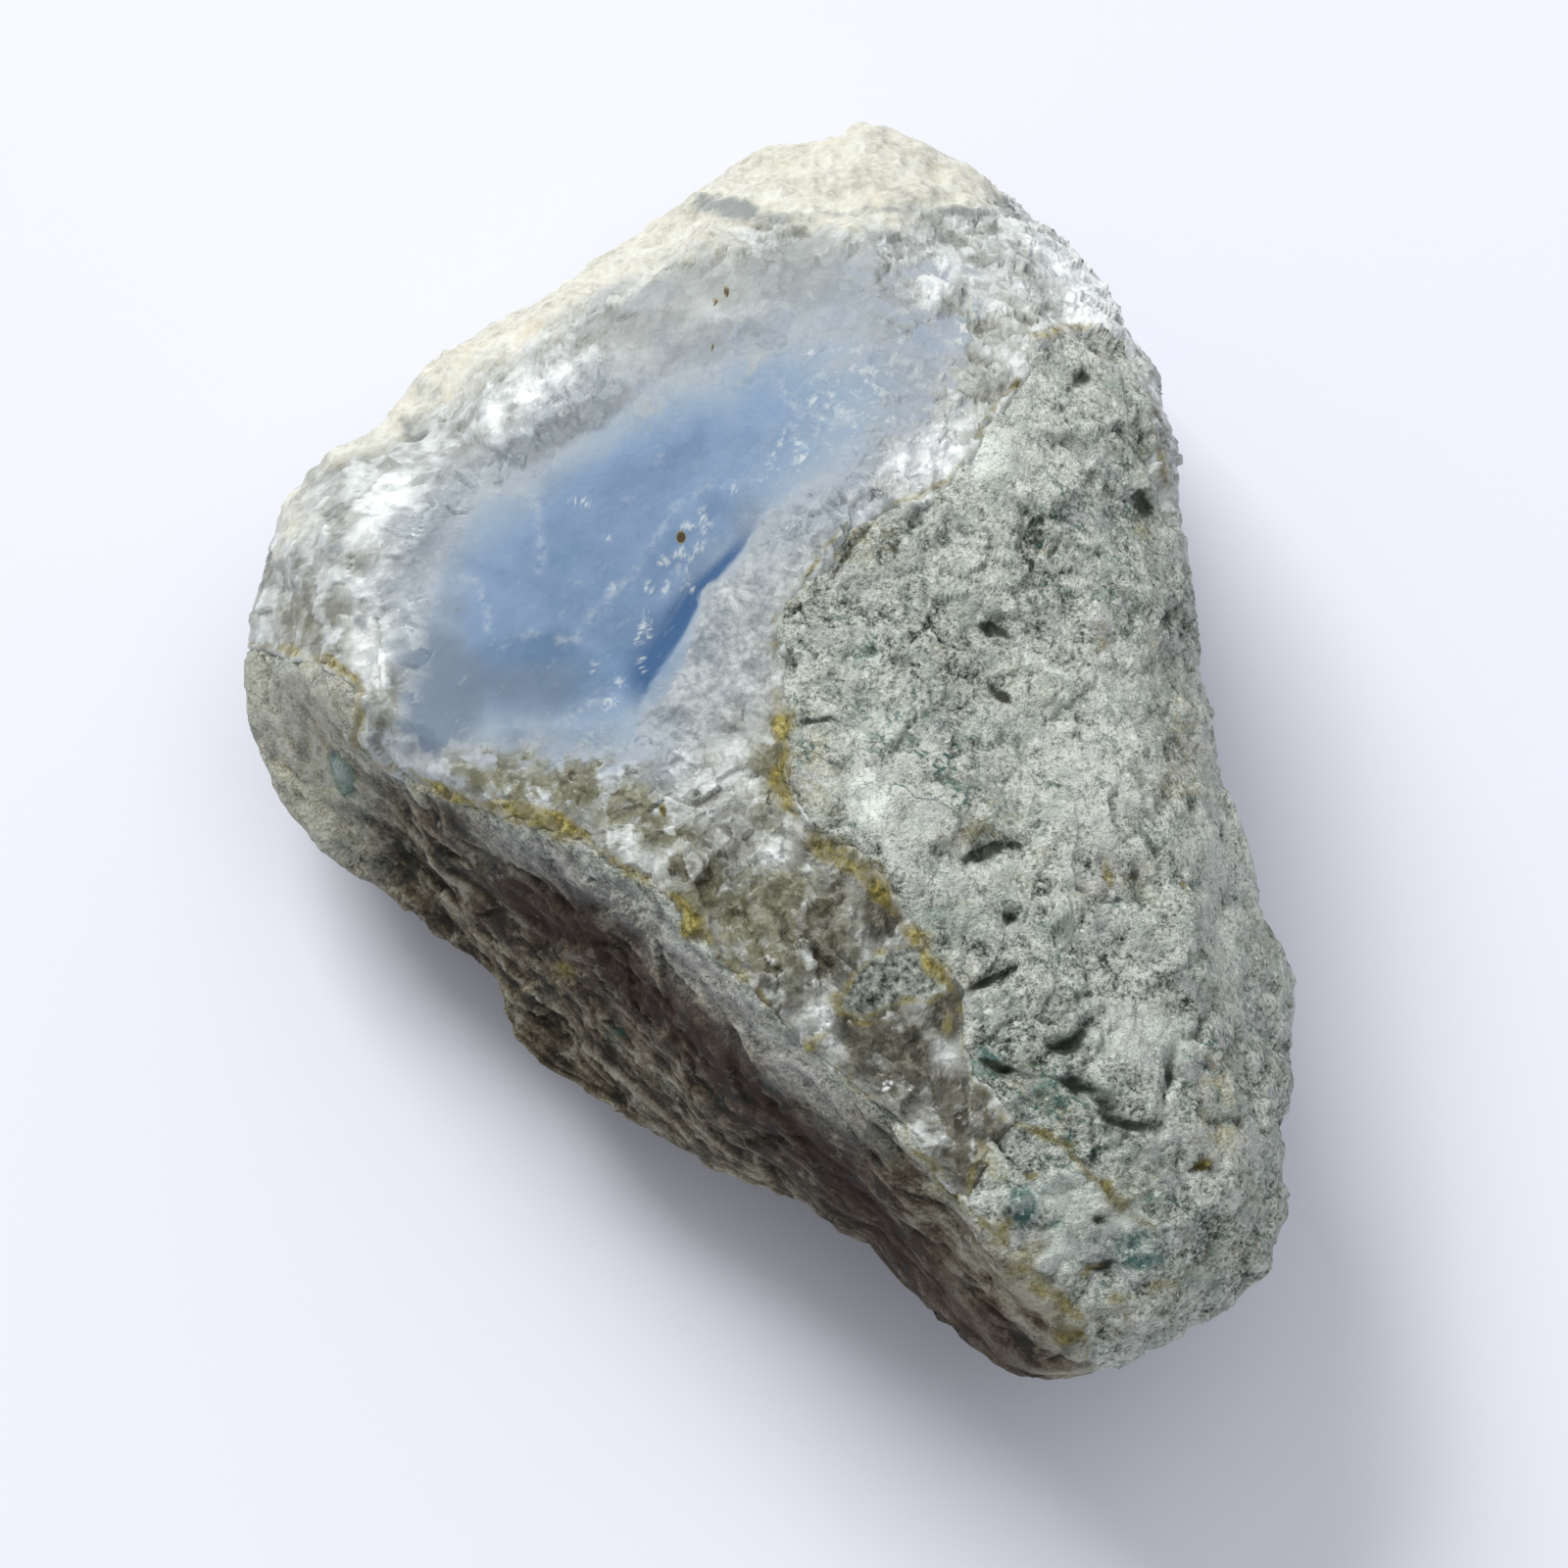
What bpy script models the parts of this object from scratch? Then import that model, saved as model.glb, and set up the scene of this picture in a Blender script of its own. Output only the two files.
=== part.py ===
"""A rough blue opal: one hand-sized stone that lies on its back.

The stone is a lump of grey-green volcanic rock. A seam of blue opal with a frosted quartz rim
crosses its face, and a chalky rind covers its far left edge. The rock, the seam and the rind grew
together, so the whole stone is one solid.

Places on the face are given as the eye sees them, in millimetres: x to the right and y up across
the face, measured in a plane through the middle of the stone, and a height above the table. The eye
looks down along the sight tilt, so each sight line meets the front of the stone once and its back
once. The stone is a ball whose rim follows the outline, whose front is pushed out to the fracture
faces that the eye sees, and whose back is pushed out to the ones that it doesn't.
"""

import math

import bmesh
import bpy
import numpy as np
from mathutils import Vector, noise

MM = 0.001

# Driving dimensions, in millimetres
SIGHT_DISTANCE = 420.0
SIGHT_TILT = math.radians(70)
MIDDLE_HEIGHT = 18.0

# The stone's outline, clockwise from the top: x, y and the height of the rim
OUTLINE = [
    (6.5, 44.4, 21), (11.5, 41.9, 22), (14.4, 40.3, 22), (19.0, 36.8, 23), (21.1, 35.5, 24),
    (23.7, 33.2, 24), (24.7, 31.6, 24), (25.4, 29.0, 24), (26.6, 26.6, 24), (27.2, 23.2, 24),
    (27.7, 18.3, 24), (28.8, 14.8, 24), (29.9, 5.9, 24), (31.5, -1.7, 24), (33.5, -6.3, 23),
    (34.6, -11.7, 22), (36.3, -16.5, 21), (36.1, -19.6, 21), (36.6, -24.9, 21), (35.9, -30.1, 21),
    (36.1, -32.4, 21), (34.4, -36.8, 22), (32.0, -38.6, 22), (25.4, -42.1, 24), (21.4, -44.0, 24),
    (19.4, -44.3, 23), (16.1, -42.8, 21), (11.5, -39.7, 18), (8.3, -36.6, 16), (7.6, -35.1, 15),
    (3.1, -32.0, 14), (-4.6, -28.8, 13), (-11.0, -24.6, 12), (-16.3, -20.8, 12), (-18.1, -18.4, 12),
    (-18.9, -16.2, 12), (-20.8, -14.1, 12), (-23.3, -13.1, 12), (-27.4, -10.1, 12), (-30.5, -7.9, 12),
    (-34.3, -2.6, 13), (-36.4, 3.3, 14), (-36.7, 7.3, 15), (-36.2, 11.0, 16), (-34.3, 16.8, 18),
    (-29.9, 21.0, 19), (-27.2, 23.4, 20), (-23.0, 27.6, 20), (-15.1, 32.5, 20), (-12.9, 34.6, 20),
    (-7.9, 37.3, 21), (-2.6, 41.7, 21), (2.8, 43.9, 22),
]

# The fracture faces that the eye sees, each through three places: x, y and height
FRONT_FACES = {
    "opal seam": [(-16.0, -5.4, 34.5), (0.3, 5.9, 36.5), (-18.0, 28.0, 28.5)],
    "rock face": [(0.3, 5.9, 36.7), (12.0, -28.0, 36.5), (24.0, 4.0, 34.0)],
    "rock shoulder": [(26.5, 10.0, 33.0), (30.5, -14.0, 33.0), (36.0, -16.0, 28.5)],
    "rock toe": [(14.0, -29.0, 36.5), (31.0, -24.0, 33.0), (25.0, -42.0, 31.5)],
    "toe corner": [(33.0, -24.0, 31.5), (34.0, -36.0, 28.5), (29.0, -39.5, 30.5)],
    "side bevel": [(-16.0, -5.4, 34.5), (9.7, -27.4, 36.5), (-5.5, -17.0, 33.0)],
    "dark side": [(-14.5, -8.5, 33.0), (7.5, -29.5, 34.0), (-11.0, -24.6, 13.0)],
    "left cheek": [(-24.0, -2.8, 31.5), (-29.2, 2.0, 29.0), (-32.7, -5.2, 14.0)],
    "left end": [(-30.0, 3.0, 29.5), (-31.0, 17.0, 27.0), (-36.5, 5.0, 19.0)],
    "rind": [(-31.0, 17.5, 26.0), (-4.0, 36.5, 28.5), (-16.0, 32.5, 22.5)],
    "top end": [(-4.0, 37.5, 29.5), (17.0, 36.0, 30.5), (6.0, 44.2, 25.5)],
    "quartz corner": [(17.0, 33.0, 32.5), (23.5, 27.0, 32.5), (24.5, 32.0, 27.0)],
    "right end": [(25.2, 24.0, 33.0), (28.0, 6.0, 32.5), (28.6, 15.0, 29.0)],
}

# The faces that the eye doesn't see, which carry the stone and close it behind
BACK_FACES = {
    "bed": [(-20.0, 0.0, -1.0), (20.0, 0.0, -0.8), (5.0, -25.0, -1.2)],
    "far wall": [(-8.0, 41.0, 13.0), (14.0, 44.5, 14.0), (4.0, 38.5, 0.0)],
    "far left wall": [(-38.0, 14.0, 12.0), (-15.0, 35.5, 13.0), (-21.0, 22.5, 0.0)],
    "right wall": [(30.0, 22.0, 15.0), (38.0, -12.0, 12.0), (27.0, 2.0, 0.0)],
    "near right heel": [(37.0, -25.0, 12.0), (28.0, -43.0, 13.0), (23.0, -27.0, 0.0)],
    "near left heel": [(-36.0, -5.0, 8.0), (-17.0, -22.0, 7.0), (-19.0, -8.0, 0.0)],
    "near wall": [(-4.0, -31.5, 8.0), (11.0, -42.0, 10.0), (6.0, -27.0, 0.0)],
}

# How softly neighbouring faces meet, and how steeply they turn over at the rim
FRONT_EDGE = 0.7
BACK_EDGE = 1.2
FRONT_RIM_POWER = 13
BACK_RIM_POWER = 8
LEAST_LIP = 1.5

# The opal's hollow, and the sharp crest where its last flake broke away
BOWL_CENTRE = (-15.0, 9.5)
BOWL_REACH = (19.0, 12.0)
BOWL_TURN = math.radians(38)
BOWL_DEPTH = 2.0
CREST = [(-9.4, 1.6), (-7.0, 5.4), (-4.2, 11.0), (-1.2, 14.6)]
CREST_DROP = 2.2
CREST_RISE = 1.0
CREST_REACH = 4.5

# The rock stands a little proud of the seam along its lower contact
CONTACT = [
    (0.4, 6.5), (1.2, 0.5), (3.7, -6.4), (8.5, -11.0), (11.6, -15.0), (13.4, -20.8), (16.8, -26.6),
    (23.0, -31.0),
]
CONTACT_RISE = 0.9
CONTACT_REACH = 6.0

# The near edge of the seam, and the worn ledges of the dark side that run below it
SEAM_EDGE = [
    (-35.8, 7.3), (-29.4, 4.6), (-28.6, 0.7), (-23.9, -2.8), (-16.0, -5.4), (-8.3, -9.7),
    (-4.2, -14.2), (5.0, -22.8), (9.7, -27.4), (15.4, -33.9), (21.1, -39.2), (22.2, -42.4),
]
LEDGE_GAP = 3.4
LEDGE_DEPTH = 0.9

# Grooves and cracks: the line, its half width and its depth
GROOVES = [
    ([(-5.2, 38.8), (-2.6, 37.6), (1.0, 37.4)], 1.0, 1.2),
    ([(1.0, 37.4), (8.0, 37.9), (13.6, 38.1)], 0.8, 0.4),
    ([(9.4, 16.8), (7.8, 16.1), (6.0, 14.7), (4.8, 13.1), (3.7, 11.0), (1.1, 8.8)], 0.5, 0.9),
    ([(13.4, -17.9), (15.0, -16.4), (17.0, -15.5)], 0.6, 0.9),
    ([(19.3, -21.9), (21.3, -20.6), (23.3, -18.8)], 0.9, 1.0),
    ([(-26.0, 23.4), (-24.6, 20.8)], 0.9, 0.8),
]

# Pits and hollows: x, y, radius and depth
PITS = [
    (14.6, -7.2, 1.3, 1.5), (16.8, -7.0, 1.0, 1.2), (16.8, -12.1, 0.8, 1.0), (15.8, 8.7, 1.0, 0.9),
    (25.9, 17.0, 1.0, 1.2), (21.8, 26.6, 0.9, 0.9), (25.6, -9.9, 3.6, 1.3), (30.5, -29.4, 0.9, 0.8),
    (15.3, 4.2, 1.3, 0.8), (-28.5, 8.6, 2.0, 0.8),
]

# Rounded lumps of rock and quartz: x, y, radius and height
LUMPS = [
    (5.0, 41.0, 5.5, 1.4), (-31.5, 13.5, 3.2, 1.0), (-24.5, 16.5, 3.0, 0.8), (9.5, 33.0, 2.6, 0.7),
    (20.5, 32.0, 3.5, 0.8), (9.6, 20.5, 2.6, 0.7), (17.5, 18.5, 6.0, 0.9), (10.5, -2.5, 6.0, 0.7),
    (21.5, -14.5, 4.0, 0.8), (26.5, -24.0, 6.0, 1.0), (17.0, -33.0, 4.0, 0.7), (-30.0, -2.0, 3.6, 0.9),
    (-17.5, -14.0, 3.5, 1.0), (-3.5, -22.0, 4.0, 0.9), (9.0, -34.5, 3.0, 0.7),
]

# Roughness of the broken surface: the size of the lumps and their height, coarse to fine
ROUGHNESS = [(15.0, 1.0), (6.5, 0.75), (3.2, 0.4)]
NOISE_SHIFT = Vector((3.7, 1.9, 5.3))

BALL_DETAIL = 6
FACE_BUDGET = 8200
ROCK_COLOUR = (0.36, 0.38, 0.35, 1.0)
ROCK_ROUGHNESS = 0.85

SIGHT_RIGHT = np.array((1.0, 0.0, 0.0))
SIGHT_UP = np.array((0.0, math.sin(SIGHT_TILT), math.cos(SIGHT_TILT)))
SIGHT_BACK = np.array((0.0, -math.cos(SIGHT_TILT), math.sin(SIGHT_TILT)))
MIDDLE = np.array((0.0, 0.0, MIDDLE_HEIGHT))
EYE = MIDDLE + SIGHT_DISTANCE * SIGHT_BACK


def place(x, y, nearness):
    """Points on the sight lines through x, y, as far towards the eye as nearness says."""
    x, y, nearness = np.broadcast_arrays(x, y, nearness)
    shrink = (1 - nearness / SIGHT_DISTANCE)[..., None]
    across = x[..., None] * SIGHT_RIGHT + y[..., None] * SIGHT_UP
    return MIDDLE + across * shrink + nearness[..., None] * SIGHT_BACK


def nearness_at(x, y, height):
    """How near the eye a sight line is where it passes a height above the table."""
    lean = math.cos(SIGHT_TILT) * y
    fall = math.sin(SIGHT_TILT) - lean / SIGHT_DISTANCE
    return (height - MIDDLE_HEIGHT - lean) / fall


def face_nearness(corners, x, y):
    """How near the eye a flat face through three corners is, along the sight lines through x, y."""
    a, b, c = (place(px, py, nearness_at(px, py, height)) for px, py, height in corners)
    normal = np.cross(b - a, c - a)
    sight = place(x, y, 0.0) - EYE
    share = ((a - EYE) @ normal) / (sight @ normal)
    return SIGHT_DISTANCE * (1 - share)


def soft_least(values, edge):
    """The least of several surfaces, rounded where two of them meet."""
    values = np.array(values)
    least = values.min(axis=0)
    return least - edge * np.log(np.exp(-(values - least) / edge).sum(axis=0))


def outline_at(turn):
    """The outline's distance from the middle and its height, in each direction."""
    points = np.array(OUTLINE, dtype=float)
    turns = np.arctan2(points[:, 1], points[:, 0])
    order = np.argsort(turns)
    reach = np.hypot(points[:, 0], points[:, 1])[order]
    return (
        np.interp(turn, turns[order], reach, period=2 * math.pi),
        np.interp(turn, turns[order], points[order, 2], period=2 * math.pi),
    )


def distance_to_line(line, x, y):
    """The distance to a drawn line, positive on its right-hand side, and the share along it."""
    corners = np.array(line, dtype=float)
    best = np.full(x.shape, np.inf)
    signed = np.zeros(x.shape)
    along = np.zeros(x.shape)
    spans = len(corners) - 1
    for index in range(spans):
        start = corners[index]
        step = corners[index + 1] - start
        dx, dy = x - start[0], y - start[1]
        share = np.clip((dx * step[0] + dy * step[1]) / (step @ step), 0, 1)
        gap = np.hypot(dx - share * step[0], dy - share * step[1])
        side = np.sign(dx * step[1] - dy * step[0])
        nearer = gap < best
        best = np.where(nearer, gap, best)
        signed = np.where(nearer, gap * side, signed)
        along = np.where(nearer, (index + share) / spans, along)
    return signed, along


def ease(value, low, high):
    """Zero below low, one above high, and a smooth rise between them."""
    share = np.clip((value - low) / (high - low), 0, 1)
    return share * share * (3 - 2 * share)


def bowl(x, y):
    """The shallow shell-shaped hollow in the opal."""
    dx, dy = x - BOWL_CENTRE[0], y - BOWL_CENTRE[1]
    along = (dx * math.cos(BOWL_TURN) + dy * math.sin(BOWL_TURN)) / BOWL_REACH[0]
    across = (dy * math.cos(BOWL_TURN) - dx * math.sin(BOWL_TURN)) / BOWL_REACH[1]
    return -BOWL_DEPTH * np.clip(1 - along**2 - across**2, 0, 1)


def crest(x, y):
    """The crest beside the hollow: the opal drops away on its left and rises on its right."""
    side, along = distance_to_line(CREST, x, y)
    fade = ease(along, 0.0, 0.2) * (1 - ease(along, 0.75, 1.0)) * 0.9 + 0.1
    drop = -CREST_DROP * np.exp(-np.clip(-side, 0, None) / CREST_REACH) * ease(-side, -0.4, 0.6)
    rise = CREST_RISE * np.exp(-np.clip(side, 0, None) / CREST_REACH) * ease(side, -0.2, 0.8)
    reach = np.exp(-((np.hypot(x + 5.0, y - 8.0) / 11.0) ** 4))
    return (drop + rise) * fade * reach


def contact_step(x, y):
    """The rock's step above the seam, which fades away into the rock."""
    side, along = distance_to_line(CONTACT, x, y)
    left = -side
    fade = ease(along, 0.02, 0.15) * (1 - ease(along, 0.85, 1.0))
    step = ease(left, -1.0, 1.2) * np.exp(-np.clip(left, 0, None) / CONTACT_REACH)
    return CONTACT_RISE * step * fade


def ledges(x, y):
    """The worn ledges of the dark side, which step down and away from the seam's edge."""
    side, along = distance_to_line(SEAM_EDGE, x, y)
    sway = 0.35 * np.sin(along * 23.0) + 0.25 * np.sin(along * 51.0 + 1.3)
    step = (side / LEDGE_GAP + sway) % 1.0
    return -LEDGE_DEPTH * ease(step, 0.0, 0.8) * (1 - ease(step, 0.85, 1.0)) * ease(side, 1.5, 3.5)


def grooves(x, y):
    """The cracks and grooves that the eye sees."""
    total = np.zeros(x.shape)
    for line, half_width, depth in GROOVES:
        side, _ = distance_to_line(line, x, y)
        total -= depth * np.exp(-((side / half_width) ** 2))
    return total


def spots(x, y, places, sign):
    """Round pits or lumps on the face."""
    total = np.zeros(x.shape)
    for px, py, radius, size in places:
        total += sign * size * np.exp(-((np.hypot(x - px, y - py) / radius) ** 2))
    return total


def front_nearness(x, y):
    """The front of the stone: its fracture faces with their hollows, steps, cracks and lumps."""
    faces = soft_least([face_nearness(corners, x, y) for corners in FRONT_FACES.values()], FRONT_EDGE)
    relief = bowl(x, y) + crest(x, y) + contact_step(x, y) + ledges(x, y) + grooves(x, y)
    return faces + relief + spots(x, y, PITS, -1) + spots(x, y, LUMPS, 1)


def back_nearness(x, y):
    """The back of the stone."""
    faces = [-face_nearness(corners, x, y) for corners in BACK_FACES.values()]
    return -soft_least(faces, BACK_EDGE)


def stone_points(ball):
    """Where each point of a unit ball goes, with the ball's pole towards the eye."""
    turn = np.arctan2(ball[:, 1], ball[:, 0])
    share = np.clip(np.hypot(ball[:, 0], ball[:, 1]), 0, 1)
    reach, rim_height = outline_at(turn)
    x = reach * share * np.cos(turn)
    y = reach * share * np.sin(turn)
    rim = nearness_at(reach * np.cos(turn), reach * np.sin(turn), rim_height)
    swell = np.clip(front_nearness(x, y) - rim, LEAST_LIP, None)
    front = rim + swell * np.sqrt(1 - share**FRONT_RIM_POWER)
    sink = np.clip(rim - back_nearness(x, y), LEAST_LIP, None)
    back = rim - sink * np.sqrt(1 - share**BACK_RIM_POWER)
    return place(x, y, np.where(ball[:, 2] >= 0, front, back))


def roughen(mesh):
    """Push each point in or out along its normal, by lumps of several sizes."""
    mesh.normal_update()
    moves = []
    for vert in mesh.verts:
        total = 0.0
        for size, height in ROUGHNESS:
            total += height * noise.noise(vert.co / size + NOISE_SHIFT * size)
        moves.append(vert.normal * total)
    for vert, move in zip(mesh.verts, moves):
        vert.co += move


def flatten_bed(mesh):
    """Cut the underside flat at table height, so that the stone rests on one face."""
    geometry = mesh.verts[:] + mesh.edges[:] + mesh.faces[:]
    cut = bmesh.ops.bisect_plane(
        mesh, geom=geometry, plane_co=(0, 0, 0), plane_no=(0, 0, -1), clear_outer=True
    )
    rim = [item for item in cut["geom_cut"] if isinstance(item, bmesh.types.BMEdge)]
    for vert in {vert for edge in rim for vert in edge.verts}:
        vert.co.z = 0.0
    bmesh.ops.triangle_fill(mesh, edges=rim, use_beauty=True)


def middle_over_table(mesh):
    """The middle of the stone's box, at table height."""
    points = np.array([vert.co[:] for vert in mesh.verts])
    middle = (points.min(axis=0) + points.max(axis=0)) / 2
    return Vector((middle[0], middle[1], 0.0))


def rock_material():
    """Dull grey-green rock."""
    material = bpy.data.materials.new("grey_rock")
    material.use_nodes = True
    shader = material.node_tree.nodes["Principled BSDF"]
    shader.inputs["Base Color"].default_value = ROCK_COLOUR
    shader.inputs["Roughness"].default_value = ROCK_ROUGHNESS
    shader.inputs["Metallic"].default_value = 0.0
    return material


def thinned(mesh, faces):
    """A copy of a mesh with about so many triangles, kept where the surface bends most."""
    data = bpy.data.meshes.new("stone_draft")
    mesh.to_mesh(data)
    draft = bpy.data.objects.new("stone_draft", data)
    bpy.context.collection.objects.link(draft)
    thin = draft.modifiers.new("thin", "DECIMATE")
    thin.ratio = faces / len(data.polygons)
    thin.use_collapse_triangulate = True
    evaluated = draft.evaluated_get(bpy.context.evaluated_depsgraph_get())
    result = bmesh.new()
    result.from_mesh(evaluated.to_mesh())
    bpy.data.objects.remove(draft, do_unlink=True)
    bpy.data.meshes.remove(data)
    return result


def shape_stone():
    """The stone as one closed mesh in millimetres, where the sight lines place it."""
    ball = bmesh.new()
    bmesh.ops.create_icosphere(ball, subdivisions=BALL_DETAIL, radius=1.0)
    directions = np.array([vert.co.normalized()[:] for vert in ball.verts])
    for vert, point in zip(ball.verts, stone_points(directions)):
        vert.co = Vector(point)
    roughen(ball)
    stone = thinned(ball, FACE_BUDGET)
    ball.free()
    flatten_bed(stone)
    return stone


def make_stone():
    """The finished solid in metres, with its box centred over the origin."""
    stone = shape_stone()
    bmesh.ops.translate(stone, verts=stone.verts, vec=-middle_over_table(stone))
    bmesh.ops.scale(stone, verts=stone.verts, vec=(MM, MM, MM))
    bmesh.ops.recalc_face_normals(stone, faces=stone.faces)
    data = bpy.data.meshes.new("opal_stone")
    stone.to_mesh(data)
    stone.free()
    data.shade_smooth()
    data.materials.append(rock_material())
    return bpy.data.objects.new("opal_stone", data)


def main():
    for item in list(bpy.data.objects):
        bpy.data.objects.remove(item, do_unlink=True)
    bpy.context.collection.objects.link(make_stone())


main()
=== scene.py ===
"""The looks of a rough blue opal: a hand-sized stone that lies on its back on a pale table.

Two closed meshes make the stone. The host rock is the whole lump, let down a little where the seam
lies on it, and the opal seam is the frosted quartz, the blue opal and the chalky rind. Both follow
the same fracture faces, and both are pushed out to them along the sight lines of the eye that looks
down on the stone, so a place on the face is given as the eye sees it: x to the right and y up, in
millimetres, measured in a plane through the middle of the stone.
"""

import functools
import itertools
import math

import bmesh
import bpy
import numpy as np
from bpy.props import FloatProperty, FloatVectorProperty, PointerProperty
from mathutils import Matrix, Vector, noise


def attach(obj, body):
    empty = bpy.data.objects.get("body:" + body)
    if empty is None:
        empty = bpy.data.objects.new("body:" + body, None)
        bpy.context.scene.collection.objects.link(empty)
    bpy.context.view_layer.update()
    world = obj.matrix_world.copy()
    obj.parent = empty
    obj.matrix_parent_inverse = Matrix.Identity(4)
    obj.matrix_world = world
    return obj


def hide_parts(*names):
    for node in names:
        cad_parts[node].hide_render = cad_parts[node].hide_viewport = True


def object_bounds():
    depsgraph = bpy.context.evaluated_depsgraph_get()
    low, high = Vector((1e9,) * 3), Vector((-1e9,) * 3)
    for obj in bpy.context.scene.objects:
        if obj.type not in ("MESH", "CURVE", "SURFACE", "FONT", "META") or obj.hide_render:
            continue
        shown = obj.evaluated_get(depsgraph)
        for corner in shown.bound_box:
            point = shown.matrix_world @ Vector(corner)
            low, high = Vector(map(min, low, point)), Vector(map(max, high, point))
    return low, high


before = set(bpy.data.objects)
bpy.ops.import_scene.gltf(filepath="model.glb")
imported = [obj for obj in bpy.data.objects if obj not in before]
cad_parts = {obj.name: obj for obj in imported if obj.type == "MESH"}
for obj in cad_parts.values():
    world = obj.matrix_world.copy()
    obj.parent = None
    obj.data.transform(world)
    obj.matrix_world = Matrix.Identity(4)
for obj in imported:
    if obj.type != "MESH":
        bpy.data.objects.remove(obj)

bl_info = {
    "name": "Rough blue opal",
    "version": (1, 0, 0),
    "blender": (4, 5, 0),
    "location": "3D View > Sidebar > Rough Opal",
    "description": "Builds a rough stone with a seam of blue opal, and the table that it lies on",
    "category": "Add Mesh",
}

CAD_BOX = [Vector(corner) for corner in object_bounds()]
STONE_NODE = "opal_stone"

MM = 0.001

# The sight lines: the eye's distance in millimetres, its tilt, and the middle of the stone
SIGHT_DISTANCE = 420.0
SIGHT_TILT = math.radians(70)
MIDDLE_HEIGHT = 18.0
SIGHT_RIGHT = np.array((1.0, 0.0, 0.0))
SIGHT_UP = np.array((0.0, math.sin(SIGHT_TILT), math.cos(SIGHT_TILT)))
SIGHT_BACK = np.array((0.0, -math.cos(SIGHT_TILT), math.sin(SIGHT_TILT)))
MIDDLE = np.array((0.0, 0.0, MIDDLE_HEIGHT))
EYE = MIDDLE + SIGHT_DISTANCE * SIGHT_BACK

# The picture: its side in pixels, its scale at the stone, and its centre in sight coordinates
PICTURE_SIDE = 1600
PIXELS_PER_MM = 14.5
PICTURE_CENTRE = (0.83, -2.41)
SENSOR_WIDTH = 36.0

# The stone's outline, clockwise from the top: x, y and the height of the rim
OUTLINE = [
    (6.5, 44.4, 21), (11.5, 41.9, 22), (14.4, 40.3, 22), (19, 36.8, 23), (21.1, 35.5, 24),
    (23.7, 33.2, 24), (24.7, 31.6, 24), (25.4, 29, 24), (26.6, 26.6, 24), (27.2, 23.2, 24),
    (27.7, 18.3, 24), (28.8, 14.8, 24), (29.9, 5.9, 24), (31.5, -1.7, 24), (33.5, -6.3, 23),
    (34.6, -11.7, 22), (36.3, -16.5, 21), (36.1, -19.6, 21), (36.6, -24.9, 21), (35.9, -30.1, 21),
    (36.1, -32.4, 21), (34.4, -36.8, 22), (32, -38.6, 22), (25.4, -42.1, 24), (21.4, -44, 24),
    (19.4, -44.3, 23), (16.1, -42.8, 21), (11.5, -39.7, 18), (8.3, -36.6, 16), (7.6, -35.1, 15),
    (3.1, -32, 14), (-4.6, -28.8, 13), (-11, -24.6, 12), (-16.3, -20.8, 12), (-18.1, -18.4, 12),
    (-18.9, -16.2, 12), (-20.8, -14.1, 12), (-23.3, -13.1, 12), (-27.4, -10.1, 12), (-30.5, -7.9, 12),
    (-34.3, -2.6, 13), (-36.4, 3.3, 14), (-36.7, 7.3, 15), (-36.2, 11, 16), (-34.3, 16.8, 18),
    (-29.9, 21, 19), (-27.2, 23.4, 20), (-23, 27.6, 20), (-15.1, 32.5, 20), (-12.9, 34.6, 20),
    (-7.9, 37.3, 21), (-2.6, 41.7, 21), (2.8, 43.9, 22),
]

# The fracture faces that the eye sees, each through three places: x, y and height
FRONT_FACES = {
    "opal seam": [(-16, -5.4, 34.5), (0.3, 5.9, 36.5), (-18, 28, 28.5)],
    "rock face": [(0.3, 5.9, 36.7), (12, -28, 36.5), (24, 4, 34)],
    "rock shoulder": [(26.5, 10, 33), (30.5, -14, 33), (36, -16, 28.5)],
    "rock toe": [(14, -29, 36.5), (31, -24, 33), (25, -42, 31.5)],
    "toe corner": [(33, -24, 31.5), (34, -36, 28.5), (29, -39.5, 30.5)],
    "side bevel": [(-16, -5.4, 34.5), (9.7, -27.4, 36.5), (-5.5, -17, 33)],
    "dark side": [(-14.5, -8.5, 33), (7.5, -29.5, 34), (-11, -24.6, 13)],
    "left cheek": [(-24, -2.8, 31.5), (-29.2, 2, 29), (-32.7, -5.2, 14)],
    "left end": [(-30, 3, 29.5), (-31, 17, 27), (-36.5, 5, 19)],
    "rind": [(-31, 17.5, 26), (-4, 36.5, 28.5), (-16, 32.5, 22.5)],
    "top end": [(-4, 37.5, 29.5), (17, 36, 30.5), (6, 44.2, 25.5)],
    "quartz corner": [(17, 33, 32.5), (23.5, 27, 32.5), (24.5, 32, 27)],
    "right end": [(25.2, 24, 33), (28, 6, 32.5), (28.6, 15, 29)],
}

# The faces that the eye doesn't see, which carry the stone and close it behind
BACK_FACES = {
    "bed": [(-20, 0, -1), (20, 0, -0.8), (5, -25, -1.2)],
    "far wall": [(-8, 41, 13), (14, 44.5, 14), (4, 38.5, 0)],
    "far left wall": [(-38, 14, 12), (-15, 35.5, 13), (-21, 22.5, 0)],
    "right wall": [(30, 22, 15), (38, -12, 12), (27, 2, 0)],
    "near right heel": [(37, -25, 12), (28, -43, 13), (23, -27, 0)],
    "near left heel": [(-36, -5, 8), (-17, -22, 7), (-19, -8, 0)],
    "near wall": [(-4, -31.5, 8), (11, -42, 10), (6, -27, 0)],
}

# How softly neighbouring faces meet, and how steeply they turn over at the rim
FRONT_EDGE = 0.7
BACK_EDGE = 1.2
FRONT_RIM_POWER = 13
BACK_RIM_POWER = 8
LEAST_LIP = 1.5

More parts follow.
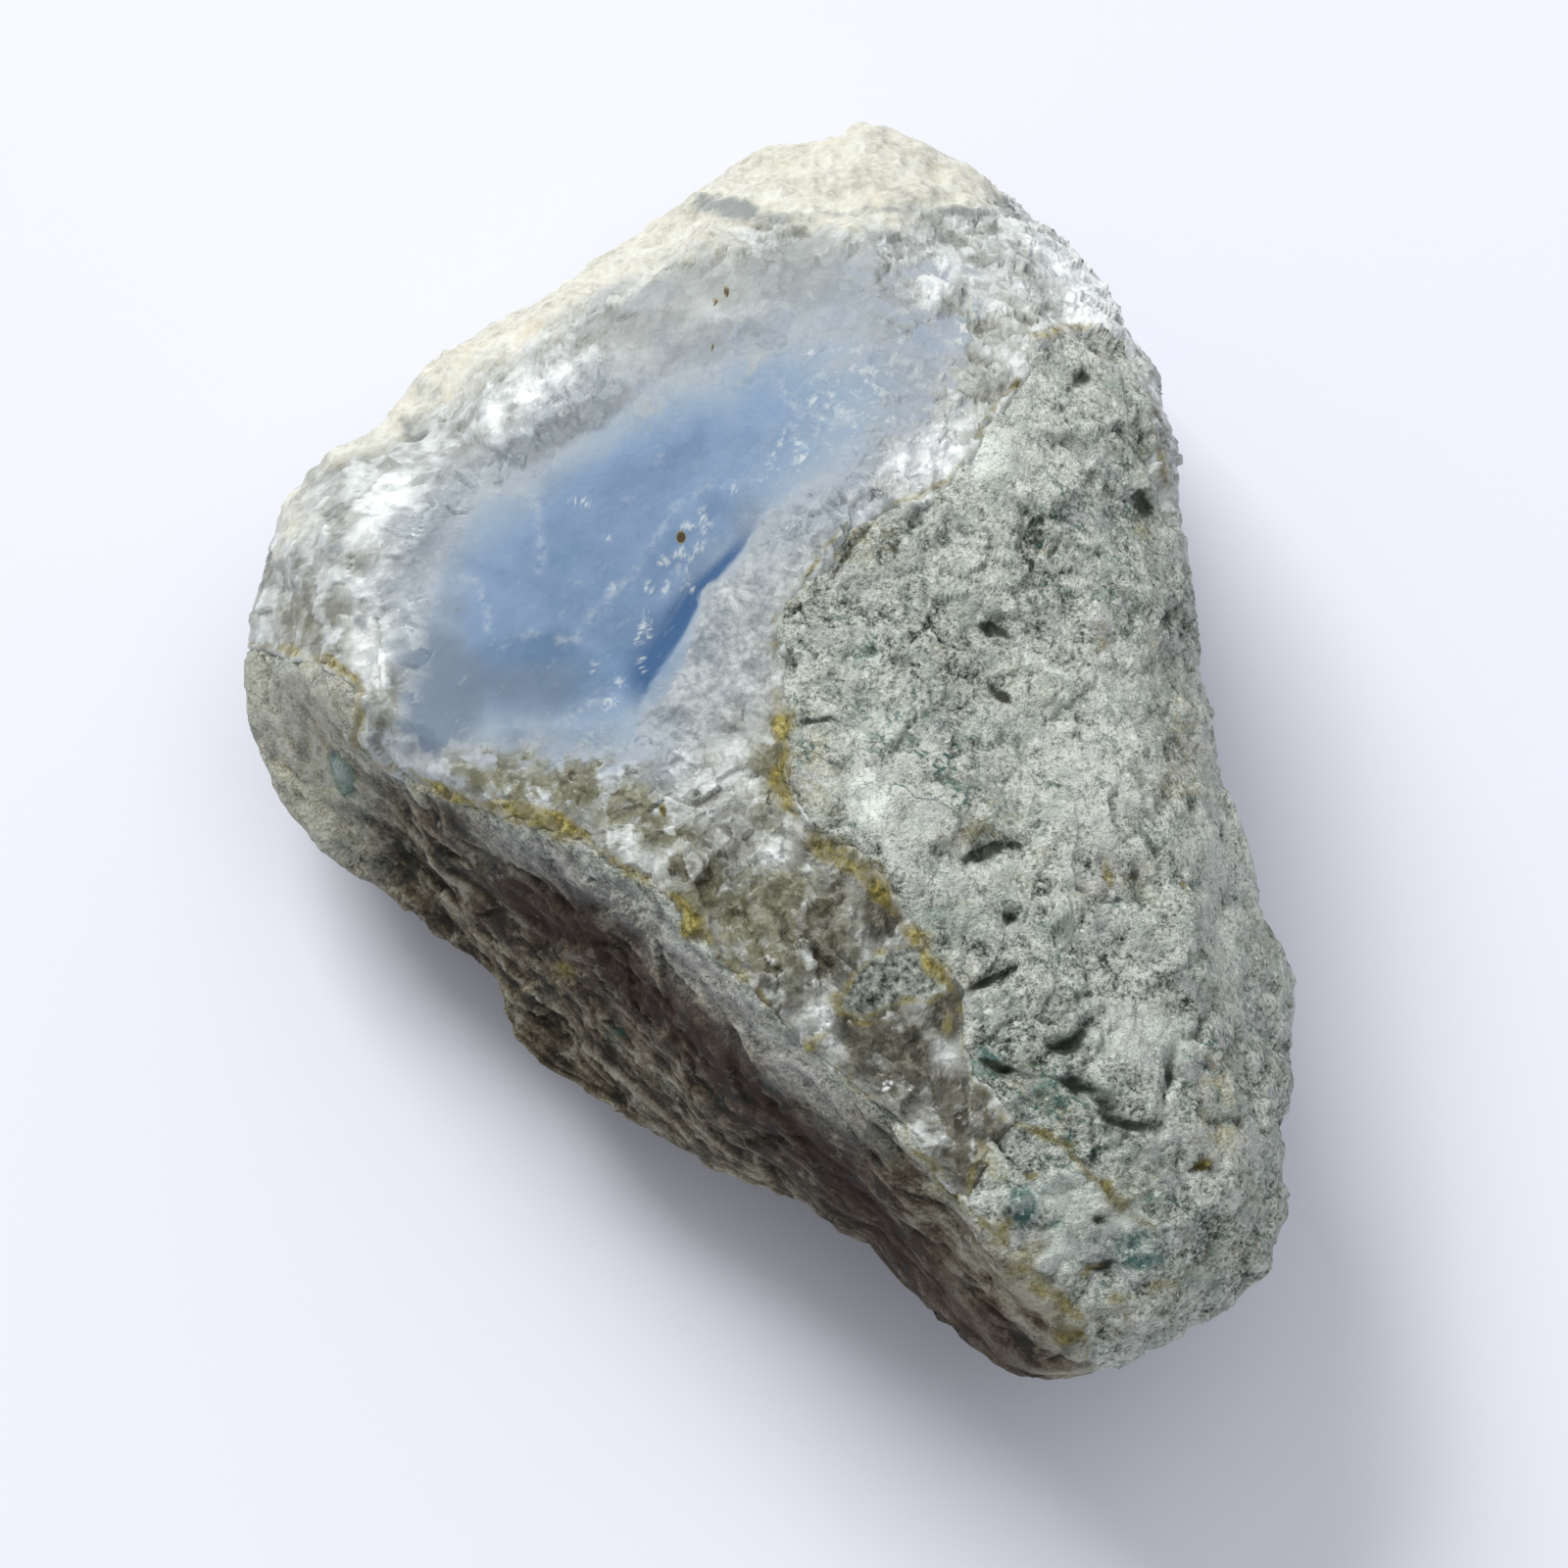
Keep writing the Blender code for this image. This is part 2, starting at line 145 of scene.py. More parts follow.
# The near edge of the seam, where the dark side breaks away, from the left end to the toe
SEAM_EDGE = [
    (-35.8, 7.3), (-34.3, 6.6), (-31.6, 5.9), (-29.4, 4.6), (-29.2, 2.9), (-29, 0.7), (-28.3, -0.6),
    (-26.1, -1.7), (-23.9, -2.8), (-21.7, -3.7), (-18.8, -4.8), (-16, -5.4), (-13.4, -6.6), (-10.7, -8.3),
    (-8.3, -9.7), (-6.6, -10.9), (-5.7, -12.9), (-4.2, -14.2), (-1.3, -16.6), (0.5, -18.8), (2.8, -21.2),
    (5, -22.8), (7.7, -25.5), (9.7, -27.4), (11.4, -29.4), (13.2, -31.7), (15.4, -33.9), (17.2, -36.1),
    (19.4, -38.1), (21.1, -39.2), (22.2, -42.4),
]

# The far edge of the seam, where the pale rock begins, from the right end to the toe
CONTACT = [
    (26.9, 23.9), (25.8, 26.1), (24.5, 28.7), (22.5, 29.5), (20.3, 29.4), (18.6, 28.5), (18.1, 26.8),
    (16.8, 24.8), (14.8, 23), (14.3, 21), (12.6, 19), (10.6, 17.5), (8.1, 16.7), (5.6, 15.6), (3.9, 13.6),
    (2.3, 12), (0.8, 10.5), (0.4, 8.4), (0.8, 6.6), (0.4, 5), (0.6, 3.6), (1.3, 2.3), (0.8, 1.1),
    (1.3, 0), (0.9, -2.2), (1.6, -4.1), (3.7, -6.3), (5.7, -7.3), (7.6, -8.9), (8.8, -11.2),
    (10.2, -13.3), (11.6, -15), (13.2, -17.2), (13.2, -18.5), (13.4, -21.1), (14.1, -23.1), (15.8, -24.8),
    (16.9, -26.5),
]

# The vein that goes on into the toe from the end of the contact
TOE_VEIN = [
    (16.9, -26.5), (18.5, -27), (20.9, -28.1), (21.8, -29.7), (23.3, -31), (24, -32.3), (26.6, -33.4),
]

# The seam as one closed outline, which passes well outside the stone behind it: it leaves the near
# edge at one of its places, from where on only clay follows it
LAST_OF_EDGE = 24
TAIL_END = [(12.7, -31.0), (13.8, -31.4), (14.3, -30.2), (15.0, -29.2), (15.2, -27.8)]
RIGHT_STRIP = [(27.1, 19.7), (28.3, 15.5), (40.0, 12.0)]
FAR_CORNERS = [(60.0, 60.0), (-60.0, 60.0), (-60.0, 9.0)]
SEAM_REGION = SEAM_EDGE[: LAST_OF_EDGE + 1] + TAIL_END + CONTACT[::-1] + RIGHT_STRIP + FAR_CORNERS

# A small island of rock inside the seam's tail
ISLAND = [
    (7.6, -14.4), (10.3, -13.8), (12.1, -15.6), (12.6, -17.2), (11, -17.9), (9.2, -17.7), (6.6, -18.9),
    (4.8, -18.6), (5.2, -17), (6, -15.8),
]

# The blue heart of the seam
OPAL_REGION = [
    (-24.6, 0.9), (-25.6, 3), (-25.2, 6.4), (-24.5, 11), (-23.6, 14.4), (-20.9, 17.6), (-16.2, 20.8),
    (-9.9, 24.4), (-3.8, 27.2), (2.3, 29.6), (9, 31.6), (11.9, 30.8), (12.6, 27.4), (10.5, 23.6),
    (5.2, 18.6), (1.2, 16.2), (-0.8, 15), (-2.1, 13.6), (-4.6, 10.7), (-4.9, 8.6), (-6, 5.6), (-7.6, 3.4),
    (-8.8, 1.8), (-9.2, -0.2), (-11.6, 0.6), (-13.4, -0.4), (-16, 0.4), (-18.6, -0.6), (-21.4, 0.4),
]

# The milky part of the seam, which is smooth like the opal: the blue heart, the grey that lies above
# it, and the frosted slope beside its crest
MILKY_REGION = [
    (-23.9, 2.6), (-24.4, 5), (-24.2, 10), (-23, 14.6), (-20.1, 18.6), (-16.6, 21.4), (-13.8, 23.4),
    (-12.2, 26.4), (-14.6, 29.4), (-10.5, 31.9), (-5.8, 34.2), (0.4, 35.4), (4.2, 35.6), (6.8, 34.2),
    (7.8, 31.8), (9.6, 32), (11.2, 30), (10.8, 27.6), (10, 24.8), (7.4, 21.8), (4.4, 19), (2.2, 16.8),
    (0.8, 15), (0.6, 11), (0.2, 7), (-0.8, 2.4), (-3.6, 0.2), (-8.4, 1.2), (-12.5, 1.8), (-18.5, 1.4),
]

# How smooth the milky part is, against the blue heart, and how far crystals stand into both
MILKY_SHARE = 0.75
OPAL_TEETH = 0.75
MILKY_TEETH = 1.6

# Where the quartz's crystals turn larger and smoother, towards the stone's left end
SOFT_REACH = (12.0, 23.0)

# Where the rind begins, from the left end to the far right
RIND_EDGE = [
    (-40, 12), (-35.4, 14.6), (-30.9, 20), (-25, 23.9), (-20.5, 26.4), (-17.1, 28.6), (-13, 30.9),
    (-10.2, 32.8), (-6.1, 34.8), (-3.3, 35.9), (0.8, 36.4), (5.7, 37.2), (11, 37.6), (15, 38.4), (19, 41),
]

# The opal's hollow, and the sharp crest where its last flake broke away
BOWL_CENTRE = (-15.0, 9.5)
BOWL_REACH = (19.0, 12.0)
BOWL_TURN = math.radians(38)
BOWL_DEPTH = 2.0
BOWL_STEEPNESS = 1.4
CREST = [(-9.4, 2.6), (-8.4, 4.6), (-6.1, 8.0), (-4.6, 10.8), (-2.1, 13.7), (-0.6, 16.2)]
CREST_DROP = 2.2
CREST_RISE = 1.0
CREST_REACH = 4.5
CREST_LEFT = (-0.2, 1.2)
CREST_RIGHT = (-0.2, 0.6)
CREST_SPAN = (-0.1, 0.3, 0.6, 1.1)
CREST_ZONE = (-5.0, 8.0, 11.0)

# The rock stands a little proud of the seam along its lower contact
CONTACT_RISE = 0.9
CONTACT_REACH = 6.0
CONTACT_EDGE = (-1.0, 1.2)
CONTACT_FAINTEST = 0.2
CONTACT_SPAN = (-6.5, -2.0, 22.0, 28.0)

# The worn ledges of the dark side, which run below the seam's edge
LEDGE_GAP = 3.4
LEDGE_DEPTH = 0.9
LEDGE_SWAYS = ((0.35, 4.6), (0.25, 2.1))
LEDGE_STEP = (0.0, 0.8, 0.85, 1.0)
LEDGE_START = (1.5, 3.5)

# Grooves and cracks: the line, its half width and its depth, and what is left of that at their ends
GROOVE_ENDS = 0.3
GROOVES = [
    ([(-5.2, 38.8), (-2.6, 37.6), (1, 37.4)], 1, 1.2),
    ([(1, 37.4), (8, 37.9), (13.6, 38.1)], 0.6, 0.5),
    ([(9.4, 16.8), (7.8, 16.1), (6, 14.7), (4.8, 13.1), (3.7, 11)], 0.26, 0.6),
    ([(2.5, 10.3), (1.8, 9.9), (1.1, 8.8)], 0.3, 0.6),
    ([(13.2, -18.1), (14.2, -16.9), (15.3, -16.4), (17.2, -15.5), (18.8, -15)], 0.4, 1),
    ([(18.4, -22.6), (19.6, -21.4), (21.3, -20.7), (22, -19.5), (23.6, -18.6)], 0.5, 1),
    ([(29, -20.2), (28.3, -21.6), (28.1, -23), (27.4, -24.6), (27.6, -26.8)], 0.4, 0.9),
    ([(14.4, -21.7), (15.8, -22.9), (17, -22.9), (18.2, -23.6)], 0.45, 0.9),
    ([(20.4, -22.8), (21.8, -24), (23.4, -25.2), (24.8, -25.6)], 0.6, 0.9),
    ([(21.6, -32.4), (22.8, -33.4), (24.2, -33)], 0.35, 0.6),
    ([(20.8, -24.6), (22.2, -23.9), (23.8, -24.8)], 0.35, 0.5),
    ([(-26, 23.4), (-24.6, 20.8)], 0.8, 0.8),
]

# Pits and hollows: x, y, radius and depth
PITS = [
    (14.6, -7.2, 1.3, 1.5), (16.8, -7, 1, 1.2), (16.8, -12.1, 0.8, 1), (15.8, 8.7, 1, 0.9),
    (25.9, 17, 1, 1.2), (21.8, 26.6, 0.9, 0.9), (25.6, -9.9, 3.6, 1.3), (30.5, -29.4, 0.9, 0.8),
    (15.3, 4.2, 1.3, 0.8), (-28.5, 8.6, 2, 0.8),
]

# Rounded lumps of rock and quartz: x, y, radius and height
LUMPS = [
    (5, 41, 5.5, 1.4), (-31.5, 13.5, 3.2, 1), (-24.5, 16.5, 3, 0.8), (9.5, 33, 2.6, 0.7),
    (20.5, 32, 3.5, 0.8), (9.6, 20.5, 2.6, 0.7), (17.5, 18.5, 6, 0.9), (10.5, -2.5, 6, 0.7),
    (21.5, -14.5, 4, 0.8), (26.5, -24, 6, 1), (17, -33, 4, 0.7), (-30, -2, 3.6, 0.9),
    (-17.5, -14, 3.5, 1), (-3.5, -22, 4, 0.9), (9, -34.5, 3, 0.7),
]

# Roughness of the broken surface: the size of the lumps and their height, coarse to fine
ROUGHNESS = [(15.0, 1.0), (6.5, 0.75), (3.2, 0.4)]
FINE_ROUGHNESS = 4.0
NOISE_SHIFT = Vector((3.7, 1.9, 5.3))

# How the stone's skin is spread over its ball: the share of the front that is flat, and the angle
# on the rock's ball that this share takes
FLAT_SHARE = 0.92
FLAT_ANGLE = math.radians(100)
ROCK_CUTS = 128
SEAM_CELLS = 510
SEAM_SPREAD = 1.42

# How the seam is let into the rock, in millimetres
RECESS_DEPTH = 1.6
RECESS_EDGE = (-0.3, 0.7)
DIVE_DEPTH = 2.8
DIVE_EDGE = (0.1, 1.3)
SEAM_MARGIN = 1.8
SEAM_FOOT = 6.5
SEAM_FOOT_SWAY = [(2.5, 7.0, 3), (1.0, 2.0, 4)]
SEAM_HEART = (-6.0, 10.0, 16.0)

# Over how many rounds of neighbours the surface is evened out to tell its hollows and ridges, where painted
# shade and painted light go, and the outward directions of each piece are evened out
HOLLOW_ROUNDS = 14
ROCK_ROUNDS = 40
SEAM_ROUNDS = 120

# The opal pales along its length, away from the near edge: the direction, and where it starts and ends
PALE_TURN = math.radians(38)
PALE_REACH = (4.0, 26.0)

# The middle of the stone's box, which lies over the origin once the stone is on its table
STONE_MIDDLE = (-0.70, 1.27)

# The seam's near edge runs this way, and the dark side is streaked along it
EDGE_TURN = math.radians(-42)
EDGE_STRETCH = 0.3

# The wisps in the opal and the streaks of the frosted slope run these ways
WISP_TURN = math.radians(40)
GRAIN_TURN = math.radians(-35)
STREAK_TURN = math.radians(-55)

# Soft oval patches of the surface: x, y, half length, half width, turn in degrees and strength
TEAL_PATCHES = [
    (23.5, 18, 3, 7, 0, 0.5), (9, 2, 6, 3, -15, 0.6), (12, -1, 8, 4, -20, 0.6),
    (14.8, -22.6, 1.6, 1, 0, 1.2), (17.6, -32.3, 1.3, 1.6, 0, 1.9), (19.5, -24.5, 4.5, 2.6, 35, 0.9),
    (25.5, -34.8, 4.5, 2.2, 20, 1), (29.5, -22.5, 3, 4, 0, 0.6), (-30.3, -1.7, 0.9, 2.2, 25, 1.8),
    (22.6, -28, 3, 2.4, 0, 0.7), (22.4, -35, 1.4, 0.7, 10, 1.3), (26, -36.2, 2.4, 0.8, 15, 1.5),
    (19.6, -31, 1, 0.6, 0, 1), (27.4, -31.6, 1.6, 1, 20, 1), (19, -24.2, 2, 0.8, 30, 1.3),
    (15.4, -21.8, 1.4, 0.7, -30, 1.4), (20, -33.6, 0.8, 0.5, 0, 1.2), (6.4, 6.5, 1.6, 1.4, 0, 0.8),
    (18.6, 12.5, 2.5, 4, 0, 0.5), (-11, -20, 1.2, 1.8, 20, 0.9), (-27.5, -5.5, 2, 3, 20, 0.35),
    (3.5, 0, 2, 3, 0, 0.5), (9.5, -35.5, 2, 1.6, 0, 0.7), (6, -36.5, 2.5, 1.2, -40, 0.5),
]
TAN_PATCHES = [
    (-31.5, 0, 4, 6, -10, 1.2), (4.6, 14.2, 5.2, 0.9, 52, 0.9), (17, -36, 4, 1.8, -45, 0.8),
    (3.6, -4, 2, 1.4, -30, 0.8), (3, -1.6, 2, 2.8, 0, 0.9), (14.4, -6, 3.2, 1.6, 20, 0.9),
    (28.8, -1, 1.6, 3.6, 10, 0.8), (31.5, -24.5, 1.8, 4.5, 0, 0.8), (25.5, -30.8, 3, 1.6, 20, 0.6),
    (-23.5, -8.5, 5.5, 3, -30, 0.7), (-17.5, -14, 3.5, 2, -40, 0.7), (25, -40, 4, 1.5, 10, 0.7),
    (27, 4, 1.5, 5, 10, 0.5), (26.5, 18, 1, 5, 0, 0.6),
]
PALE_PATCHES = [
    (-30.5, -1.5, 0.5, 0.9, 30, 1.4), (6.9, -3.5, 1.4, 2, 15, 1.3), (14.9, 20.7, 1.9, 1.6, 30, 1.2),
    (25.6, -20.5, 3, 2.2, 10, 0.5), (21, -31.4, 2.6, 1.8, 0, 0.7), (12.5, -8.5, 3, 2.2, 0, 0.35),
    (9, 1.5, 3, 2, 0, 0.25), (24.5, 4.5, 2.4, 3.5, 0, 0.3), (24.8, -33.3, 1.4, 0.9, 20, 0.9),
    (20, -35.6, 1.8, 1.4, 0, 0.7), (3.4, 1, 1.4, 0.5, 0, 0.5), (15.4, 1.6, 2, 1, 10, 0.5),
    (28.6, -20.6, 1.2, 1.8, 0, 0.6),
]
# Painted shade in the rock's pits and crevices and under its ledges, partly the pits' own dark
SHADE_PATCHES = [
    (14.7, -7.5, 1.8, 0.6, 22, 1.9), (17, -6.9, 0.8, 0.4, 0, 1.2), (16.6, -12.1, 0.6, 0.5, 0, 1.1),
    (15.7, 8.4, 1.8, 0.5, -14, 1), (15.8, 3.9, 1.1, 0.5, -30, 1), (3.3, 1.9, 1.5, 0.35, 6, 1.1),
    (26, 17.2, 0.8, 1.3, 20, 1), (21.9, 26.4, 0.9, 0.9, 0, 0.9), (8.9, 6.1, 1.2, 0.6, -25, 0.7),
    (9.5, 8.2, 2.4, 1.6, 30, 0.35), (25.8, -9.9, 2.4, 3.2, 0, 0.45), (30.4, -29.4, 0.5, 0.5, 0, 1),
    (12.6, 2.8, 1.4, 0.9, 60, 0.5), (25, -27, 1.6, 3.2, 40, 0.5), (30, -8, 1, 2, 0, 0.4),
    (21.3, -20.7, 2, 0.4, 38, 0.7), (15.1, -16.5, 1.6, 0.35, 25, 0.7), (22.5, -29.5, 1.2, 0.5, -40, 0.6),
    (16, -22.4, 1.6, 0.5, -20, 0.8), (19, -33.8, 1.2, 0.4, -40, 0.8), (22.6, -33.2, 1.5, 0.4, 20, 0.7),
    (25.4, -31.8, 1.3, 0.35, 30, 0.6), (16.6, -33, 0.5, 1, 10, 0.8), (23.6, -36.4, 1.4, 0.35, 15, 0.7),
    (20.4, -36.8, 1, 0.4, -30, 0.7), (27.8, -34, 1.2, 0.35, 25, 0.6), (19.6, -24.2, 1.8, 0.5, 20, 0.7),
    (27.8, -22, 0.4, 2.4, 10, 0.6), (24.2, -26.4, 1.6, 0.4, 50, 0.6), (20.8, -17.8, 1.4, 0.3, 30, 0.5),
    (26.6, -13.2, 0.5, 1.8, -20, 0.6),
]
# Painted shade on the rock's broad hollows. The light patches below take from it, and make the rock's tone
# paler where they outweigh it.
BROAD_SHADE_PATCHES = [
    (25, -16, 4, 3, 0, 0.7), (17.8, -21.8, 5.5, 3.2, 35, 1), (22.5, -23.6, 5, 2.4, 30, 0.8),
    (12, 6.5, 5.5, 2.6, -20, 0.6), (18.2, 14.6, 1.2, 2.8, 5, 0.9), (24.5, 17, 2, 4, 10, 0.3),
    (28.5, -19, 2, 4, 0, 0.6), (15, -6.6, 3.2, 1.4, 20, 0.6), (24, -9.5, 2.2, 3, 0, 0.6),
    (25, -28, 3.5, 2.4, -40, 0.6), (13.5, 1, 3, 1.2, -40, 0.5), (16, 24, 1.2, 1.2, 0, 0.3),
    (28, -36, 4, 2.2, 20, 0.7), (11.2, -16.2, 2, 1.2, 0, 0.5), (19, -29.6, 3, 1.6, -40, 0.6),
]
LIGHT_PATCHES = [
    (-31.5, 0.5, 4, 6, 0, 1.4), (31.8, -9.5, 2.4, 9, 5, 0.9), (20.5, -3, 5.5, 7, 0, 1.1),
    (9.5, -4, 4, 3, 0, 0.9), (25.5, -20, 2.2, 1.6, 0, 0.8), (21, -31.5, 2.4, 1.8, 0, 0.8),
    (17, 21, 7, 6, 20, 1.3), (25, 4, 3, 4, 0, 0.7), (24.8, -33.3, 1.8, 1.2, 20, 0.8),
    (20, -35.4, 2, 1.6, 0, 0.6), (14.5, 20, 2.4, 2, 0, 0.6),
]
OCHRE_SPOTS = [
    (19.2, -38, 1.4, 0.9, -45, 1), (22.2, -36.8, 1.3, 0.5, 30, 0.9), (24.6, -38.6, 1.2, 0.6, 0, 0.8),
    (16.2, -34.2, 0.7, 1.6, -40, 0.9), (23.4, -30.8, 0.9, 0.4, -50, 0.9), (29, -36.8, 1.4, 0.5, 30, 0.7),
    (21, -41, 1, 1.6, -40, 0.9), (18.6, -30.2, 0.7, 0.4, 0, 0.8), (12.4, -19.6, 0.5, 1.2, 0, 0.8),
    (0.7, 1.4, 0.8, 1.2, 0, 1.5), (-5.7, -12.4, 0.8, 1.5, 20, 1.1), (10.2, -13.3, 1.5, 0.9, -30, 1.1),
    (-7.6, -4.5, 0.3, 0.5, 0, 1), (-17.4, -4.9, 2.2, 0.7, -14, 1.25), (4.6, -17.9, 0.7, 0.9, 30, 0.9),
    (6.3, -19.4, 0.8, 0.4, 0, 0.9), (17.5, -36.2, 0.9, 2.6, -45, 0.8), (24.6, -32, 1.4, 0.7, -30, 0.9),
    (20.5, -39.5, 1, 2, -30, 0.7), (-14.5, -15.5, 1.1, 0.7, 0, 0.9), (27.5, -38, 2, 0.8, 20, 0.7),
    (14.3, -5.6, 1.8, 0.8, 20, 0.6), (15.5, -29, 0.9, 2.4, 20, 0.7), (3.2, -20.8, 1.4, 0.7, 40, 0.9),
    (23.6, -8.8, 0.5, 1.2, 10, 0.9), (28.9, -9.6, 0.3, 0.9, 0, 0.9), (30.4, -29.4, 0.6, 0.6, 0, 1.1),
    (23.2, 8, 0.7, 1.6, 0, 0.6), (26.2, 15, 0.6, 1.6, 20, 0.6), (27.6, -2.6, 0.5, 1.2, 0, 0.5),
]
OCHRE_GAPS = [
    (15.6, -29.4, 1.8, 2.8, 0, 0.45), (13, -31, 1.6, 1, -45, 0.4), (8.9, -11.4, 1, 1.4, 0, 0.5),
    (13, -18.6, 1.2, 1.6, 0, 0.4), (2.4, -5.4, 1.2, 0.9, 0, 0.4), (-12.6, -7, 1.2, 1, 0, 0.3),
    (-26, -2.2, 0.8, 1, 0, 0.3), (-8, -10, 0.9, 0.9, 0, 0.4), (0.5, -18.8, 1.2, 1.2, 0, 0.4),
    (8, -25.6, 1.6, 1.2, 0, 0.4), (0.6, 5, 0.8, 1.6, 0, 0.3),
]
WIDE_OCHRE = [
    (1, -2.4, 1.8, 2.6, 0, 0.9), (4.2, -6.8, 3.8, 2, -35, 1.2), (7.6, -9.6, 2.6, 1.8, -50, 1),
    (-23, -3.4, 4.6, 1.6, -22, 0.45), (-29.2, 2.4, 1.2, 3, 0, 0.4), (-16.8, -5, 4, 1.8, -12, 0.75),
    (-5.8, -12.2, 1.8, 1.8, -60, 0.9), (16.5, -29.5, 2.4, 2.4, 0, 0.5), (0.8, 2.6, 1.4, 3, 0, 0.7),
    (-10.5, -8, 3.4, 1.4, -38, 0.2), (21, 29.5, 3, 1.2, 0, 0.25), (-32, 5.6, 4, 1.4, -25, 0.6),
    (11.6, -15.6, 1.4, 1.8, 0, 0.8),
]
DEEP_PATCHES = [
    (-16.5, 5.6, 4.2, 2.4, 0, 0.62), (-9, 8, 2.6, 5.5, -35, 0.3), (-8.5, 20.5, 7, 2.2, 25, 0.16),
    (-14.5, 13.5, 4.6, 4, 30, 0.14), (-10.6, 7.6, 2, 2.4, 0, 0.32), (-3.6, 16.4, 1.4, 2.2, 20, 0.3),
    (1, 25, 4.5, 3, 25, 0.13),
]
DUSK_PATCHES = [
    (-16.5, 0.6, 6.5, 1.4, 0, 0.5), (-23.4, 3.8, 3.6, 4.8, 0, 1.3), (-17.5, 3.8, 6, 2.6, 4, 0.7),
    (-22.4, 9.4, 1.6, 2.6, 0, 0.4), (-2, 16.6, 1.6, 2, -30, 0.4),
]
# The strongest white patches are partly white crystals and partly painted glints
WHITE_PATCHES = [
    (-19.6, 23.5, 1.3, 0.9, 40, 0.9), (-17, 25.2, 1.2, 1, 20, 1.1), (-14.9, 26.5, 1.3, 0.9, 30, 0.9),
    (-12.7, 27.8, 1, 0.8, 30, 0.8), (11.5, 32.6, 2.6, 1, 62, 1.3), (10.2, 20.2, 3.6, 1.8, 38, 1.6),
    (21.8, 32.6, 5.2, 2.3, -52, 1.1), (6, 17.4, 2.2, 0.8, 25, 0.8), (-28.4, 6.2, 1.9, 2.8, -15, 1),
    (-27.5, 17, 3.6, 1.3, 55, 0.8), (-1, -1.8, 1.8, 3.4, 15, 0.5), (-8.5, -6.8, 2.2, 1.3, -20, 0.8),
    (0.2, -7.8, 1.6, 1.2, 0, 1.5), (8.1, -23.8, 0.9, 0.5, 30, 1.6), (4, -18.4, 1.4, 1.8, 0, 1),
    (12, -21.7, 1, 0.9, 0, 1.1), (12.4, -24.6, 1.7, 1, 0, 0.8), (-24, -0.8, 2.6, 1, -15, 1),
    (16.6, 27.6, 0.6, 1.8, 30, 0.8), (-5.6, 0.4, 2, 0.8, 60, 0.4), (-28, 11.5, 2, 1.4, 0, 0.5),
    (13.6, 29.3, 0.9, 0.7, 0, 1.3), (17, 31, 3.5, 3, 0, 0.55), (14.4, 25.4, 2, 3, 0, 0.5),
    (3.4, -3.6, 1.1, 0.6, 0, 1.2), (4.8, -5, 1, 0.5, -20, 1.2),
]
OLIVE_PATCHES = [
    (-16, -2.2, 7, 2.2, -8, 1.7), (-9.5, -4.6, 4.5, 2.2, -30, 1.4), (-5.5, -9.4, 2.8, 2.2, -50, 1.4),
    (0.5, -12.6, 5, 5, 0, 1.4), (16.5, 30.5, 3.2, 2.4, 0, 0.45), (14.6, 26, 1.6, 3, 15, 0.5),
    (-27.4, 2.6, 1.4, 3.6, -10, 0.8), (-30, 8, 2.4, 2.4, 0, 0.4), (-33.2, 9.4, 1.6, 2.2, 0, 0.7),
    (8.2, 18.6, 1.2, 0.8, 0, 0.6), (-0.2, -0.8, 1.7, 6, 0, 1), (-2.2, 2, 1.2, 1.6, 0, 0.5),
    (7.5, 33.5, 2, 0.8, 0, 0.4), (-12, -1.2, 3.4, 1.2, 0, 1),
]
BROWN_PATCHES = [
    (8, -21, 5, 3.2, -52, 1.4), (13.6, -27, 2.6, 5, 20, 1.6), (3.5, -14, 3.6, 2.8, -50, 0.9),
    (8, -11.8, 1.5, 2.2, 0, 1.2), (12.3, -18.5, 1.5, 2.4, 0, 1.2), (-5.5, -8.8, 1.8, 1.2, 0, 0.9),
    (0, -17.5, 2.6, 2, -45, 1), (4.6, -10, 1.2, 1.6, 0, 0.8),
]
# Painted shade in the seam's small hollows and gaps, with a few dark spots of their own
CAVITY_PATCHES = [
    (-14.4, 22.6, 5.8, 1.2, 31, 1), (-22.1, 9.8, 0.16, 0.24, 20, 1.4), (-28.8, 8.7, 0.6, 1.2, 10, 0.7),
    (-3.2, 38.1, 2.6, 0.9, -12, 1.1), (0.6, 37.4, 3, 0.45, -4, 0.7), (-18.6, 21.2, 1.6, 0.7, 35, 0.6),
    (-25.3, 22, 0.5, 1.4, 25, 0.7), (-21.5, 19.6, 2, 0.6, 35, 0.5), (7, 37.9, 5, 0.35, 0, 0.5),
    (-31, 13.8, 1.4, 1.1, 0, 0.5), (-7, 27, 3, 0.9, 25, 0.35), (13.4, 37.9, 2.5, 0.35, -5, 0.6),
]
RUST_SPOTS = [
    (-6.4, 14.9, 0.34, 0.38, 0, 1.5), (-3.2, 32.2, 0.16, 0.34, 10, 1.3), (-4, 31.5, 0.18, 0.18, 0, 1.2),
    (-4.2, 28.3, 0.14, 0.2, 0, 1.1), (-7.6, -4.5, 0.2, 0.4, 0, 0.6),
]
FLAKY_PATCHES = [
    (7.5, 26, 6.5, 4, 40, 1), (1.5, 20.5, 4, 2, 50, 0.7), (-12, 0.6, 3, 1.2, 0, 0.5),
    (-5, 27.5, 6, 1.4, 25, 0.4), (-24, 12, 1.4, 4, -20, 0.6), (-11.3, 2.8, 2.6, 0.7, 76, 1.5),
]
